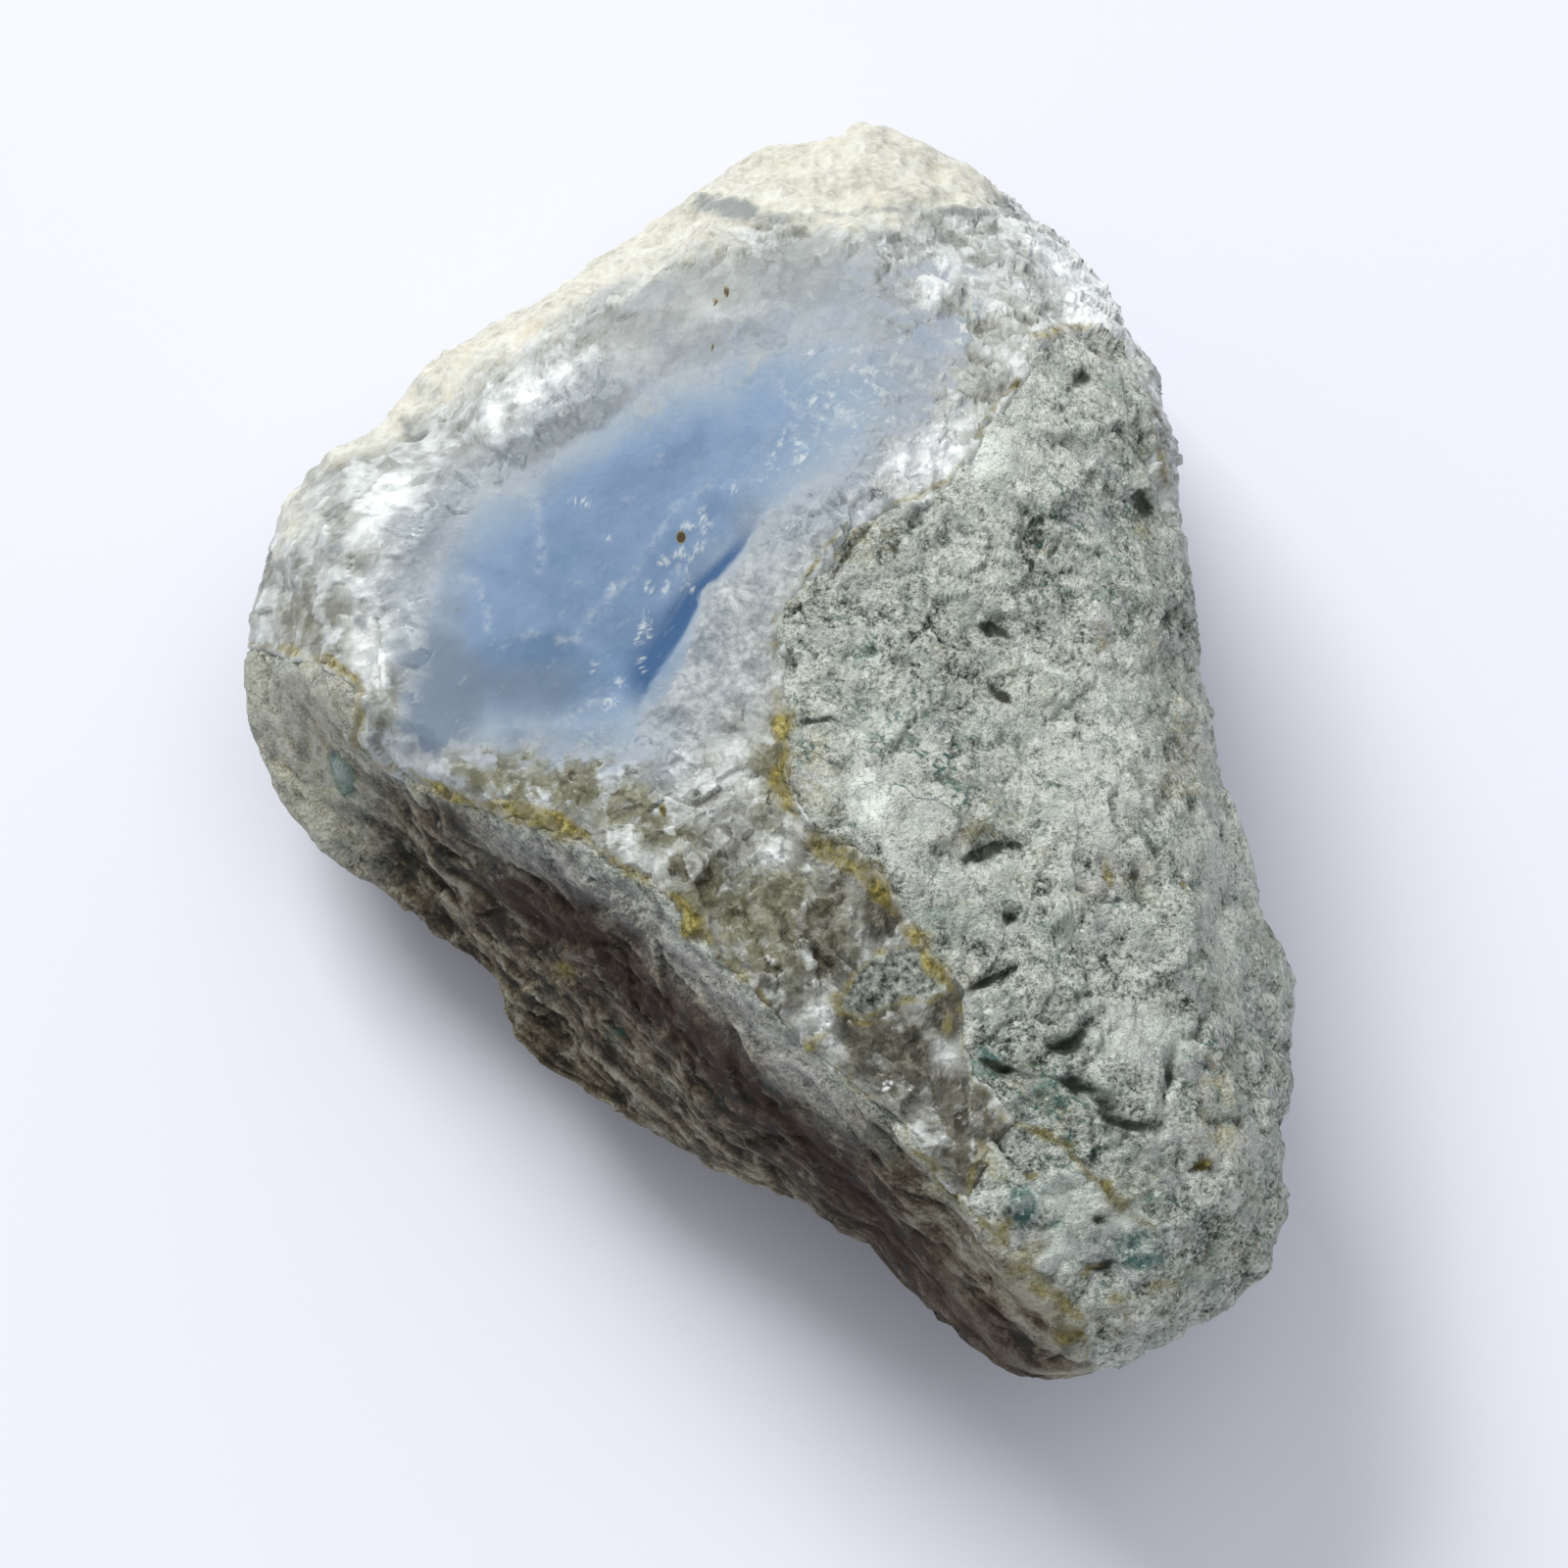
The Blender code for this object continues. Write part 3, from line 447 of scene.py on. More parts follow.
CHIP_PATCHES = [
    (-6.2, 13, 4, 1.4, 57, 1), (2.2, 22.6, 4, 1.5, 55, 0.6), (-13.5, 17.4, 1, 0.35, -5, 2.2),
    (-11.6, 15, 0.4, 0.4, 0, 2.2), (-2.7, 18.4, 0.4, 0.5, 0, 2.2), (-9, 8.1, 0.5, 1.1, -20, 2.2),
    (-8.9, 5.3, 0.3, 1, 10, 1.6), (8.5, 22.4, 1.2, 1.2, 0, 0.7), (-12.5, 5.8, 0.5, 0.4, 0, 1.6),
    (2.5, 27.5, 2, 0.6, -10, 0.6), (-9.5, 11.5, 2.5, 2, 0, 0.3), (6.5, 25, 1, 1.4, 0, 0.6),
]

# The patches by the number that they give each place, of the rock and of the seam
ROCK_PATCHES = {
    "teal": TEAL_PATCHES,
    "tan": TAN_PATCHES,
    "pale": PALE_PATCHES,
    "shade": SHADE_PATCHES,
    "gloom": BROAD_SHADE_PATCHES,
}
SEAM_PATCHES = {
    "dusk": DUSK_PATCHES,
    "flaky": FLAKY_PATCHES,
    "white": WHITE_PATCHES,
    "olive": OLIVE_PATCHES,
    "brown": BROWN_PATCHES,
    "shade": CAVITY_PATCHES,
    "rust": RUST_SPOTS,
}

# The fine shell-shaped ripples in the opal
ARCS = [
    [(-18.8, 7.7), (-16.9, 8), (-14.1, 7.4), (-13.5, 7.6), (-13.2, 8.8), (-10.3, 11.7), (-7.8, 15.9),
     (-4.4, 18.6), (-3, 21.2)],
    [(-14.5, 1.4), (-13.7, 2.8), (-12.1, 3.6), (-10.6, 3.6)],
    [(-22.5, 12.5), (-20.5, 11.4), (-19.6, 9.2), (-19.8, 7.2)],
    [(-18, 18.6), (-16.4, 16.6), (-16, 13.8), (-16.8, 11.6)],
    [(0, 26.5), (1.6, 24.2), (4.2, 23), (6.6, 23.4)],
]

# The light: lamps by name, place, side in metres, power in watts and colour, and the even sky
LAMPS = [
    ("window", (-0.95, 1.40, 1.75), 1.10, 46.0, (1.0, 0.985, 0.95)),
    ("ceiling", (0.40, 0.10, 2.40), 2.00, 13.0, (1.0, 0.99, 0.98)),
]
SKY_COLOUR = (0.94, 0.95, 0.98, 1.0)
SKY_STRENGTH = 0.46

# Chance: the primes that mix a cell's place and its seed, and the shifts and factors that scatter them
CELL_PRIMES = (73856093, 19349663, 83492791)
SEED_PRIME = 2654435761
SCATTER = ((16, 0x7FEB352D), (15, 0x846CA68B))

# How sharp ridges are, and how far a broken facet leans and stands off its neighbours
RIDGE_SHARPNESS = 2.6
FACET_LEAN = 2.2
FACET_STEP = 0.6

# Below, smooth waves are given as height, size in millimetres and seed, and ridges the same way.
# Broken facets are given as size, seed, and the size, reach and seed of the sway that bends them.
# A rise is given as where it starts and ends, a window as its rise and then its fall, and a hump as
# its middle and its half width.

# The clay line along the seam: its strength and width, how much more it has where it is wide, how it
# thins along the opal and towards the toe, and how far out from the edge it lies
CLAY_STRENGTH = 0.8
CLAY_WIDTH = 0.36
CLAY_WIDE_STRENGTH = 0.25
CLAY_WIDE_OUT = 0.5
CLAY_OUT = 0.10
CLAY_FLOW = [(0.35, 3.2, 150), (0.2, 1.4, 151)]
CLAY_SWAY = [(0.45, 1.8, 152)]
CLAY_THIN_BY_OPAL = 0.25
CLAY_OPAL_Y = (1.5, 4.0)
CLAY_OPAL_X = (-8.0, -2.0)
CLAY_THIN_BY_TOE = 0.2
CLAY_TOE = (15.0, 19.0)

# The clay in the toe's vein and along the last of the seam's edge, and round the island
VEIN_CLAY = 0.95
VEIN_WIDTH = 0.5
VEIN_FLOW = [(0.35, 2.6, 153)]
VEIN_SWAY = [(0.3, 1.6, 154)]
ISLAND_CLAY = 0.7
ISLAND_CLAY_WIDTH = 0.4

# The rock's relief: chipped faces of three sizes with their share of the height, the cracks between
# the large and the middle ones, and the ridges over them
LARGE_CHIPS = (5.2, 10, 3.0, 1.4, 80)
MIDDLE_CHIPS = (2.4, 20, 1.4, 0.6, 84)
SMALL_CHIPS = (1.2, 110, 0.8, 0.3, 88)
CHIP_HEIGHTS = (0.48, 0.28, 0.20)
CRACK_DEPTH = 0.22
CRACK_PLACES = [(1.0, 5.0, 140), (0.5, 1.8, 141)]
LARGE_CRACK = (0.02, 0.13)
LARGE_CRACK_PLACES = (0.15, 0.5)
MIDDLE_CRACK = (0.04, 0.22)
MIDDLE_CRACK_PLACES = (0.35, 0.7)
ROCK_RIDGES = [(0.09, 2.9, 11), (0.10, 1.3, 12)]

# The dark side's relief: its layers, given as height, size and seed, and its ridges
LAYER_SWAY = (1.6, 0.5, 92)
LAYERS = [(0.34, 2.8, 130), (0.20, 1.3, 150)]
LAYER_RIDGES = [(0.15, 2.2, 14)]
GRIT_RIDGES = [(0.12, 1.1, 15)]

# Where the dark side lies below the seam's edge, with its pale bevel, its maroon band and the paler left
# cheek, and where the side's colour is paler still: towards its left end and at its foot
DARK_SWAY = [(0.5, 3.0, 5)]
DARK_EDGE = (-0.4, 1.6)
SIDE_START = (-24.0, -16.0)
BEVEL = (1.6, 1.5)
BEVEL_END = (3.0, 9.0)
MAROON_BAND = (5.2, 2.0)
CHEEK_SWAY = [(1.0, 4.0, 155)]
CHEEK_EDGE = (25.5, 30.5)
CHEEK_PALER = 0.4
PALER_SIDE_END = (26.5, 33.0)
PALER_SIDE_END_SHARE = 1.5
PALER_SIDE_FOOT = (7.0, 11.0)
PALER_SIDE_FOOT_X = (-16.0, 12.0)
PALER_SIDE_TOE_X = (8.0, 14.0)
PALER_SIDE_FOOT_SHARE = 0.8
# How much painted shade the grooves and the cracks add to the rock's shade number
SHADE_IN_GROOVES = 0.5
SHADE_IN_CRACKS = 0.5

# The seam's crystals, coarse and fine, and how high they stand: the fine ones less at the left end
COARSE_CRYSTALS = (2.7, 30, 1.5, 0.4, 96)
FINE_CRYSTALS = (1.1, 50, 0.8, 0.2, 99)
COARSE_HEIGHT = 0.42
FINE_HEIGHT = 0.26
SOFTER_BY = 0.14
QUARTZ_SWELL = [(0.12, 1.8, 31)]

# The seam's smoother parts: how much calmer the opal is, and the swell of each part
OPAL_CALM = 0.8
OPAL_SWELL = [(0.13, 5.0, 26), (0.02, 0.9, 27)]
MILKY_SWELL = [(0.09, 2.4, 33), (0.04, 1.1, 34)]
RIND_SWELL = [(0.30, 2.6, 23)]
RIND_RIDGES = [(0.22, 1.2, 24)]
RIPPLE_HEIGHT = 0.03
RIPPLE_WIDTH = 0.35
RIPPLE_FADE = (0.0, 0.15, 0.8, 1.0)
RIPPLE_SWAY = (1.6, 0.35, 120)

# The white chips broken out of the opal: their facets, how wide each is, and how many there are
OPAL_CHIPS = (0.75, 60, 0.6, 0.35, 66)
CHIP_EDGE = (0.05, 0.3)
CHIP_SHARE = 0.58
CHIP_RISE = (0.0, 0.12)
CHIP_HEIGHT = 0.10
CHIP_STAND = 0.3

# The borders in the seam: the rind's, the frosted slope's, the bluish halo's round the opal, the
# island's, and where the quartz is lower down the stone
RIND_SWAY = [(1.2, 3.0, 21), (0.7, 1.0, 22)]
RIND_BORDER = (-1.0, 1.2)
FROSTED_ZONE = (-2.5, 7.0, 7.0)
FROSTED_EDGE = (-0.2, 0.3)
HALO_SWAY = [(1.2, 2.6, 37)]
HALO_REACH = (-6.0, 0.0)
HALO_END = (4.0, 13.0)
ISLAND_EDGE = (-0.2, 0.3)
LOW_REACH = (-1.0, 5.0)
BEHIND_RIM = (-0.08, 0.0)
CAVITY_LEAST = 0.6
CAVITY_BY_FACET = 0.8

# The opal's border: how it wavers, how wide it is, and how much wider at the right, at its far end,
# below and at the left; and where more crystals stand into it
OPAL_SWAY = [(0.8, 3.4, 28), (0.5, 1.3, 29)]
OPAL_BORDER = 0.9
OPAL_BORDER_RIGHT = 1.5
OPAL_BORDER_FAR = 2.7
OPAL_BORDER_BELOW = 0.9
OPAL_BORDER_LEFT = 0.9
OPAL_RIGHT_X = (-6.0, 8.0)
OPAL_FAR_Y = (20.0, 27.0)
OPAL_BELOW_Y = (-5.0, 0.0)
OPAL_LEFT_X = (19.0, 25.0)
TEETH_Y = (14.0, 19.0)
TEETH_X = (-4.0, 2.0)

# The milky part's border: how it wavers, how wide it is, and where it is wider
MILKY_SWAY = [(0.7, 2.0, 35), (0.4, 0.9, 36)]
MILKY_BORDER = 0.8
MILKY_BORDER_WIDER = 1.6
MILKY_WIDER_Y = (-6.0, -2.0)
MILKY_WIDER_X = (-11.0, -6.0)

# The opal's blue: how deep it is inside its border, and how much of that it loses as it pales
OPAL_DEPTH = 0.72
OPAL_DEPTH_EDGE = (-0.5, 5.0)
PALE_LOSS = 0.85

# The dark band below the crest: along the crest, its near side, and its width with a wider middle
BAND_SPAN = (-0.05, 0.15, 0.75, 1.05)
BAND_START = (-0.1, 0.25)
BAND_WIDTH = 1.3
BAND_WIDER = 2.4
BAND_MIDDLE = (0.3, 0.3)
BAND_FULL = 0.35

# The materials' clouds: the size of their lumps in millimetres, how many finer sizes they hold and how
# strong those are; and for some the way in which they are drawn out, and how far
CLOUDS = {
    "grain": (0.32, 3.0, 0.75),
    "mottle": (1.4, 5.0, 0.68),
    "broad": (7.0, 2.0, 0.5),
    "wavy": (2.4, 4.0, 0.62, GRAIN_TURN, 2.2),
    "wispy": (4.5, 3.0, 0.6),
    "small": (0.9, 4.0, 0.65),
    "tinge": (3.6, 3.0, 0.6),
    "speckles": (1.1, 4.0, 0.64),
    "stains": (5.0, 2.0, 0.5),
    "lilac": (2.8, 3.0, 0.6),
    "streaks": (1.8, 4.0, 0.65, EDGE_TURN, 3.1),
    "side_mottle": (2.2, 4.0, 0.65),
    "side_lumps": (1.6, 4.0, 0.65),
    "blotches": (2.4, 4.0, 0.65),
    "clay": (1.5, 5.0, 0.68),
    "cloudy": (1.9, 4.0, 0.6),
    "fine": (0.5, 3.0, 0.6),
    "pocks": (0.8, 3.0, 0.6),
    "wide": (3.0, 3.0, 0.6),
    "gritty": (0.7, 4.0, 0.68),
    "dots": (0.30, 3.0, 0.7),
    "opal_swell": (6.0, 3.0, 0.5),
    "opal_drift": (2.0, 4.0, 0.62, WISP_TURN, 1.5),
    "opal_wisps": (1.1, 4.0, 0.66, WISP_TURN, 1.6),
    "opal_flakes": (1.0, 4.0, 0.72),
    "milk": (5.0, 3.0, 0.55),
    "slope_streaks": (1.5, 4.0, 0.70, STREAK_TURN, 1.9),
    "chalk": (2.4, 4.0, 0.65),
}
CRYSTAL_SIZE = 0.8

# The colours that a user may change: what each one paints, and its red, green and blue
COLOURS = {
    # The rock's darkest grains, and also the painted shade in its pits, gaps and hollows
    "rock_dark": ("The pits and gaps of the rock", 0.035, 0.039, 0.028),
    "rock_shade": ("The darker grains of the rock", 0.235, 0.26, 0.235),
    "rock_middle": ("The rock's main grey-green", 0.49, 0.525, 0.475),
    "rock_light": ("The pale grains of the rock", 0.745, 0.785, 0.725),
    "rock_white": ("The chalky patches of the rock", 0.88, 0.96, 0.9),
    "rock_teal": ("The teal stains of the rock", 0.034, 0.115, 0.104),
    "rock_wash": ("The pale teal wash of the rock", 0.25, 0.37, 0.34),
    "rock_green": ("The faint green of the rock", 0.3, 0.38, 0.33),
    "rock_lilac": ("The faint lilac of the rock", 0.47, 0.45, 0.48),
    "rock_tan": ("The tan stains of the rock", 0.42, 0.38, 0.23),
    # The dark side's colours: its own browns, darkened as painted shade where the side faces away from the
    # light
    "side_dark": ("The dark streaks of the worn side", 0.024, 0.02, 0.014),
    "side_brown": ("The worn side's grey-brown", 0.098, 0.08, 0.052),
    "side_grey": ("The paler streaks of the worn side", 0.25, 0.222, 0.155),
    "side_beige": ("The palest lumps of the worn side", 0.44, 0.435, 0.35),
    "side_maroon": ("The maroon band of the worn side", 0.052, 0.029, 0.02),
    "side_teal": ("The dark teal blotches of the worn side", 0.022, 0.031, 0.028),
    "ochre_brown": ("The dark lumps of the clay line", 0.086, 0.069, 0.01),
    "ochre": ("The rusty clay along the seam", 0.252, 0.211, 0.046),
    "ochre_bright": ("The bright lumps of the clay line", 0.5, 0.45, 0.175),
    "quartz_shade": ("The gaps between the quartz crystals", 0.2, 0.205, 0.185),
    "quartz_grey": ("The cloudy grey quartz", 0.37, 0.388, 0.37),
    "quartz_white": ("The frosted quartz", 0.6, 0.64, 0.63),
    # The brightest crystals, and also the painted glints on the quartz
    "quartz_bright": ("The brightest frosted crystals", 0.88, 0.92, 0.93),
    "quartz_blue": ("The quartz beside the opal", 0.335, 0.395, 0.455),
    "quartz_olive": ("The glassy olive quartz", 0.208, 0.205, 0.134),
    "olive_shade": ("The gaps in the olive quartz", 0.11, 0.108, 0.062),
    "quartz_smoke": ("The smoky quartz of the seam's tail", 0.112, 0.104, 0.068),
    "smoke_shade": ("The gaps in the smoky quartz", 0.03, 0.028, 0.016),
    "milky_blue": ("The bluish parts of the smooth grey seam", 0.278, 0.306, 0.325),
    "milky_grey": ("The smooth grey part of the seam", 0.285, 0.308, 0.3),
    "milky_white": ("The palest parts of the smooth grey seam", 0.4, 0.43, 0.422),
    "milky_slope": ("The frosted slope beside the crest", 0.33, 0.362, 0.375),
    "slope_dark": ("The bluish hollows of the frosted slope", 0.165, 0.2, 0.225),
    "slope_white": ("The frosted slope's palest streaks", 0.56, 0.595, 0.6),
    "opal_pale": ("The opal's milky border", 0.34, 0.385, 0.44),
    "opal_light": ("The opal's lighter blue", 0.24, 0.325, 0.425),
    "opal_blue": ("The opal's main blue", 0.178, 0.272, 0.42),
    "opal_deep": ("The opal's deeper blue", 0.102, 0.185, 0.31),
    "opal_dusk": ("The opal's greyer near end", 0.118, 0.168, 0.23),
    "opal_band": ("The dark band below the opal's crest", 0.038, 0.1, 0.22),
    "rind_grey": ("The grey mottling of the rind", 0.44, 0.44, 0.39),
    "rind_cream": ("The rind's chalky cream", 0.61, 0.605, 0.53),
    "rind_white": ("The palest lumps of the rind", 0.72, 0.73, 0.665),
    "rind_rust": ("The beige stains of the rind", 0.62, 0.54, 0.4),
    "cavity": ("The small hollows of the seam", 0.17, 0.2, 0.215),
    # Painted shade in the seam's small hollows, with a few dark spots of their own
    "rust": ("The rust spots of the seam", 0.06, 0.038, 0.018),
    "table": ("The pale table top", 0.785, 0.805, 0.9),
}


def place(x, y, nearness):
    """Points on the sight lines through x, y, as far towards the eye as nearness says."""
    x, y, nearness = np.broadcast_arrays(x, y, nearness)
    shrink = (1 - nearness / SIGHT_DISTANCE)[..., None]
    across = x[..., None] * SIGHT_RIGHT + y[..., None] * SIGHT_UP
    return MIDDLE + across * shrink + nearness[..., None] * SIGHT_BACK


def seen_at(points):
    """Where the eye sees each point: the reverse of place."""
    from_middle = points - MIDDLE
    shrink = 1 - from_middle @ SIGHT_BACK / SIGHT_DISTANCE
    return from_middle @ SIGHT_RIGHT / shrink, from_middle @ SIGHT_UP / shrink


def nearness_at(x, y, height):
    """How near the eye a sight line is where it passes a height above the table."""
    lean = math.cos(SIGHT_TILT) * y
    fall = math.sin(SIGHT_TILT) - lean / SIGHT_DISTANCE
    return (height - MIDDLE_HEIGHT - lean) / fall


def face_nearness(corners, x, y):
    """How near the eye a flat face through three corners is, along the sight lines through x, y."""
    a, b, c = (place(px, py, nearness_at(px, py, height)) for px, py, height in corners)
    normal = np.cross(b - a, c - a)
    sight = place(x, y, 0.0) - EYE
    share = ((a - EYE) @ normal) / (sight @ normal)
    return SIGHT_DISTANCE * (1 - share)


def soft_least(values, edge):
    """The least of several surfaces, rounded where two of them meet."""
    values = np.array(values)
    least = values.min(axis=0)
    return least - edge * np.log(np.exp(-(values - least) / edge).sum(axis=0))


def outline_at(turn):
    """The outline's distance from the middle and its height, in each direction."""
    points = np.array(OUTLINE, dtype=float)
    turns = np.arctan2(points[:, 1], points[:, 0])
    order = np.argsort(turns)
    reach = np.hypot(points[:, 0], points[:, 1])[order]
    return (
        np.interp(turn, turns[order], reach, period=2 * math.pi),
        np.interp(turn, turns[order], points[order, 2], period=2 * math.pi),
    )


def distance_to_line(line, x, y):
    """The distance to a drawn line, positive on its right-hand side, and the share along it."""
    corners = np.array(line, dtype=float)
    best = np.full(x.shape, np.inf)
    signed = np.zeros(x.shape)
    along = np.zeros(x.shape)
    spans = len(corners) - 1
    for index in range(spans):
        start = corners[index]
        step = corners[index + 1] - start
        dx, dy = x - start[0], y - start[1]
        share = np.clip((dx * step[0] + dy * step[1]) / (step @ step), 0, 1)
        gap = np.hypot(dx - share * step[0], dy - share * step[1])
        side = np.sign(dx * step[1] - dy * step[0])
        nearer = gap < best
        best = np.where(nearer, gap, best)
        signed = np.where(nearer, gap * side, signed)
        along = np.where(nearer, (index + share) / spans, along)
    return signed, along


def depth_inside(corners, x, y):
    """The distance to a closed outline, positive inside it."""
    gap, _ = distance_to_line(corners + corners[:1], x, y)
    inside = np.zeros(x.shape, dtype=bool)
    for (ax, ay), (bx, by) in zip(corners, corners[1:] + corners[:1]):
        if ay != by:
            crosses = ((ay > y) != (by > y)) & (x < ax + (bx - ax) * (y - ay) / (by - ay))
            inside ^= crosses
    return np.where(inside, np.abs(gap), -np.abs(gap))


def ease(value, low, high):
    """Zero below low, one above high, and a smooth rise between them."""
    share = np.clip((value - low) / (high - low), 0, 1)
    return share * share * (3 - 2 * share)


def window(value, low, full, falling, high):
    """Zero up to low, one from full to falling, and zero again from high on."""
    return ease(value, low, full) * (1 - ease(value, falling, high))


def hump(value, middle, half_width):
    """One at the middle, and less and less on both sides of it."""
    return np.exp(-(((value - middle) / half_width) ** 2))


def fading(distance, reach):
    """One up to a line, and less and less beyond it."""
    return np.exp(-np.clip(distance, 0, None) / reach)


def round_zone(x, y, middle_x, middle_y, radius):
    """One inside a round zone of the face, and quickly less outside it."""
    return np.exp(-((np.hypot(x - middle_x, y - middle_y) / radius) ** 4))


def turned(x, y, angle):
    """How far along a turned direction each place lies, and how far across it."""
    cos, sin = math.cos(angle), math.sin(angle)
    return x * cos + y * sin, y * cos - x * sin


def chance(cell, seed):
    """A fixed chance value between zero and one for each cell of space."""
    mixed = (cell * np.array(CELL_PRIMES)).sum(axis=-1) + seed * SEED_PRIME
    mixed = (mixed % 2**32).astype(np.uint32)
    for shift, factor in SCATTER:
        mixed = (mixed ^ (mixed >> np.uint32(shift))) * np.uint32(factor)
    return (mixed ^ (mixed >> np.uint32(16))) / 2**32


def waves(points, size, seed):
    """Smooth random heights from -1 to 1, whose lumps are about one size across."""
    cell = np.floor(points / size).astype(np.int64)
    part = points / size - cell
    part = part * part * (3 - 2 * part)
    total = np.zeros(len(points))
    for corner in itertools.product((0, 1), repeat=3):
        weight = np.prod(np.where(corner, part, 1 - part), axis=1)
        total += weight * chance(cell + corner, seed)
    return 2 * total - 1


def ridges(points, size, seed):
    """Random heights from -1 to 1 with sharp ridges between rounded hollows."""
    return 1 - RIDGE_SHARPNESS * np.abs(waves(points, size, seed))


def layered(points, *kinds):
    """Random heights of several sizes at once: each kind is waves or ridges, and a list of them."""
    total = np.zeros(len(points))
    for kind, layers in kinds:
        for height, size, seed in layers:
            total += height * kind(points, size, seed)
    return total


def facets(points, size, seed):
    """Flat broken facets: the height of each point, its facet's own chance, and the gap to the next."""
    home = np.floor(points / size).astype(np.int64)
    best = np.full(len(points), np.inf)
    second = np.full(len(points), np.inf)
    height = np.zeros(len(points))
    own = np.zeros(len(points))
    for offset in itertools.product((-1, 0, 1), repeat=3):
        cell = home + offset
        centre = np.stack([cell[:, axis] + chance(cell, seed + axis) for axis in range(3)], axis=1)
        away = points / size - centre
        gap = np.sqrt((away**2).sum(axis=1))
        nearer = gap < best
        second = np.where(nearer, best, np.minimum(second, gap))
        best = np.where(nearer, gap, best)
        lean = np.stack([chance(cell, seed + 3 + axis) - 0.5 for axis in range(3)], axis=1)
        rise = FACET_LEAN * (away * lean).sum(axis=1) + FACET_STEP * (chance(cell, seed + 6) - 0.5)
        height = np.where(nearer, rise, height)
        own = np.where(nearer, chance(cell, seed + 7), own)
    return height, own, second - best


def bent_facets(points, size, seed, *sway):
    """Broken facets whose edges are bent by a sway of one size, reach and seed."""
    return facets(warped(points, *sway), size, seed)


def warped(points, size, reach, seed):
    """The points swayed this way and that, so that a pattern on them has no straight edges."""
    sway = np.stack([waves(points, size, seed + axis) for axis in range(3)], axis=1)
    return points + reach * sway


def evened(mesh, values, rounds):
    """The values at a mesh's vertices, each evened out with its neighbours over several rounds."""
    ends = np.empty(len(mesh.edges) * 2, dtype=np.int32)
    mesh.edges.foreach_get("vertices", ends)
    first, last = ends[::2], ends[1::2]
    size = len(values)
    count = np.bincount(ends, minlength=size)
    for _ in range(rounds):
        total = np.bincount(first, values[last], size) + np.bincount(last, values[first], size)
        values = (values + total / count) / 2
    return values


def patches(places, x, y):
    """How strongly soft oval patches cover each place, from zero to one."""
    total = np.zeros(x.shape)
    for px, py, half_length, half_width, turn, strength in places:
        along, across = turned(x - px, y - py, math.radians(turn))
        oval = (along / half_length) ** 2 + (across / half_width) ** 2
        total = np.maximum(total, strength * np.exp(-(oval**1.5)))
    return total


def bowl(x, y):
    """The shallow shell-shaped hollow in the opal."""
    along, across = turned(x - BOWL_CENTRE[0], y - BOWL_CENTRE[1], BOWL_TURN)
    oval = (along / BOWL_REACH[0]) ** 2 + (across / BOWL_REACH[1]) ** 2
    return -BOWL_DEPTH * np.exp(-BOWL_STEEPNESS * oval)


def share_along_crest(x, y):
    """How far along the crest each place lies, from zero at its near end to one at its far end."""
    start, end = np.array(CREST[0]), np.array(CREST[-1])
    step = end - start
    return ((x - start[0]) * step[0] + (y - start[1]) * step[1]) / (step @ step)


def crest(x, y):
    """The crest beside the hollow: the opal drops away on its left and rises on its right."""
    side, _ = distance_to_line(CREST, x, y)
    drop = -CREST_DROP * fading(-side, CREST_REACH) * ease(-side, *CREST_LEFT)
    rise = CREST_RISE * fading(side, CREST_REACH) * ease(side, *CREST_RIGHT)
    fade = window(share_along_crest(x, y), *CREST_SPAN)
    return (drop + rise) * fade * round_zone(x, y, *CREST_ZONE)


def contact_step(x, y):
    """The rock's step above the seam, which fades away into the rock."""
    side, _ = distance_to_line(CONTACT, x, y)
    fade = CONTACT_FAINTEST + (1 - CONTACT_FAINTEST) * window(-y, *CONTACT_SPAN)
    return CONTACT_RISE * ease(-side, *CONTACT_EDGE) * fading(-side, CONTACT_REACH) * fade


def ledges(x, y):
    """The worn ledges of the dark side, which step down and away from the seam's edge."""
    side, _ = distance_to_line(SEAM_EDGE, x, y)
    sway = sum(share * np.sin((x - y) / length) for share, length in LEDGE_SWAYS)
    step = (side / LEDGE_GAP + sway) % 1.0
    return -LEDGE_DEPTH * window(step, *LEDGE_STEP) * ease(side, *LEDGE_START)


def grooves(x, y):
    """The cracks and grooves that the eye sees."""
    total = np.zeros(x.shape)
    for line, half_width, depth in GROOVES:
        side, along = distance_to_line(line, x, y)
        taper = GROOVE_ENDS + (1 - GROOVE_ENDS) * np.sin(np.pi * along)
        total -= depth * taper * hump(side, 0, half_width)
    return total


def spots(x, y, places, sign):
    """Round pits or lumps on the face."""
    total = np.zeros(x.shape)
    for px, py, radius, size in places:
        total += sign * size * hump(np.hypot(x - px, y - py), 0, radius)
    return total


def front_nearness(x, y):
    """The front of the stone: its fracture faces with their hollows, steps, cracks and lumps."""
    faces = soft_least([face_nearness(corners, x, y) for corners in FRONT_FACES.values()], FRONT_EDGE)
    relief = bowl(x, y) + crest(x, y) + contact_step(x, y) + ledges(x, y) + grooves(x, y)
    return faces + relief + spots(x, y, PITS, -1) + spots(x, y, LUMPS, 1)


def back_nearness(x, y):
    """The back of the stone."""
    faces = [-face_nearness(corners, x, y) for corners in BACK_FACES.values()]
    return -soft_least(faces, BACK_EDGE)


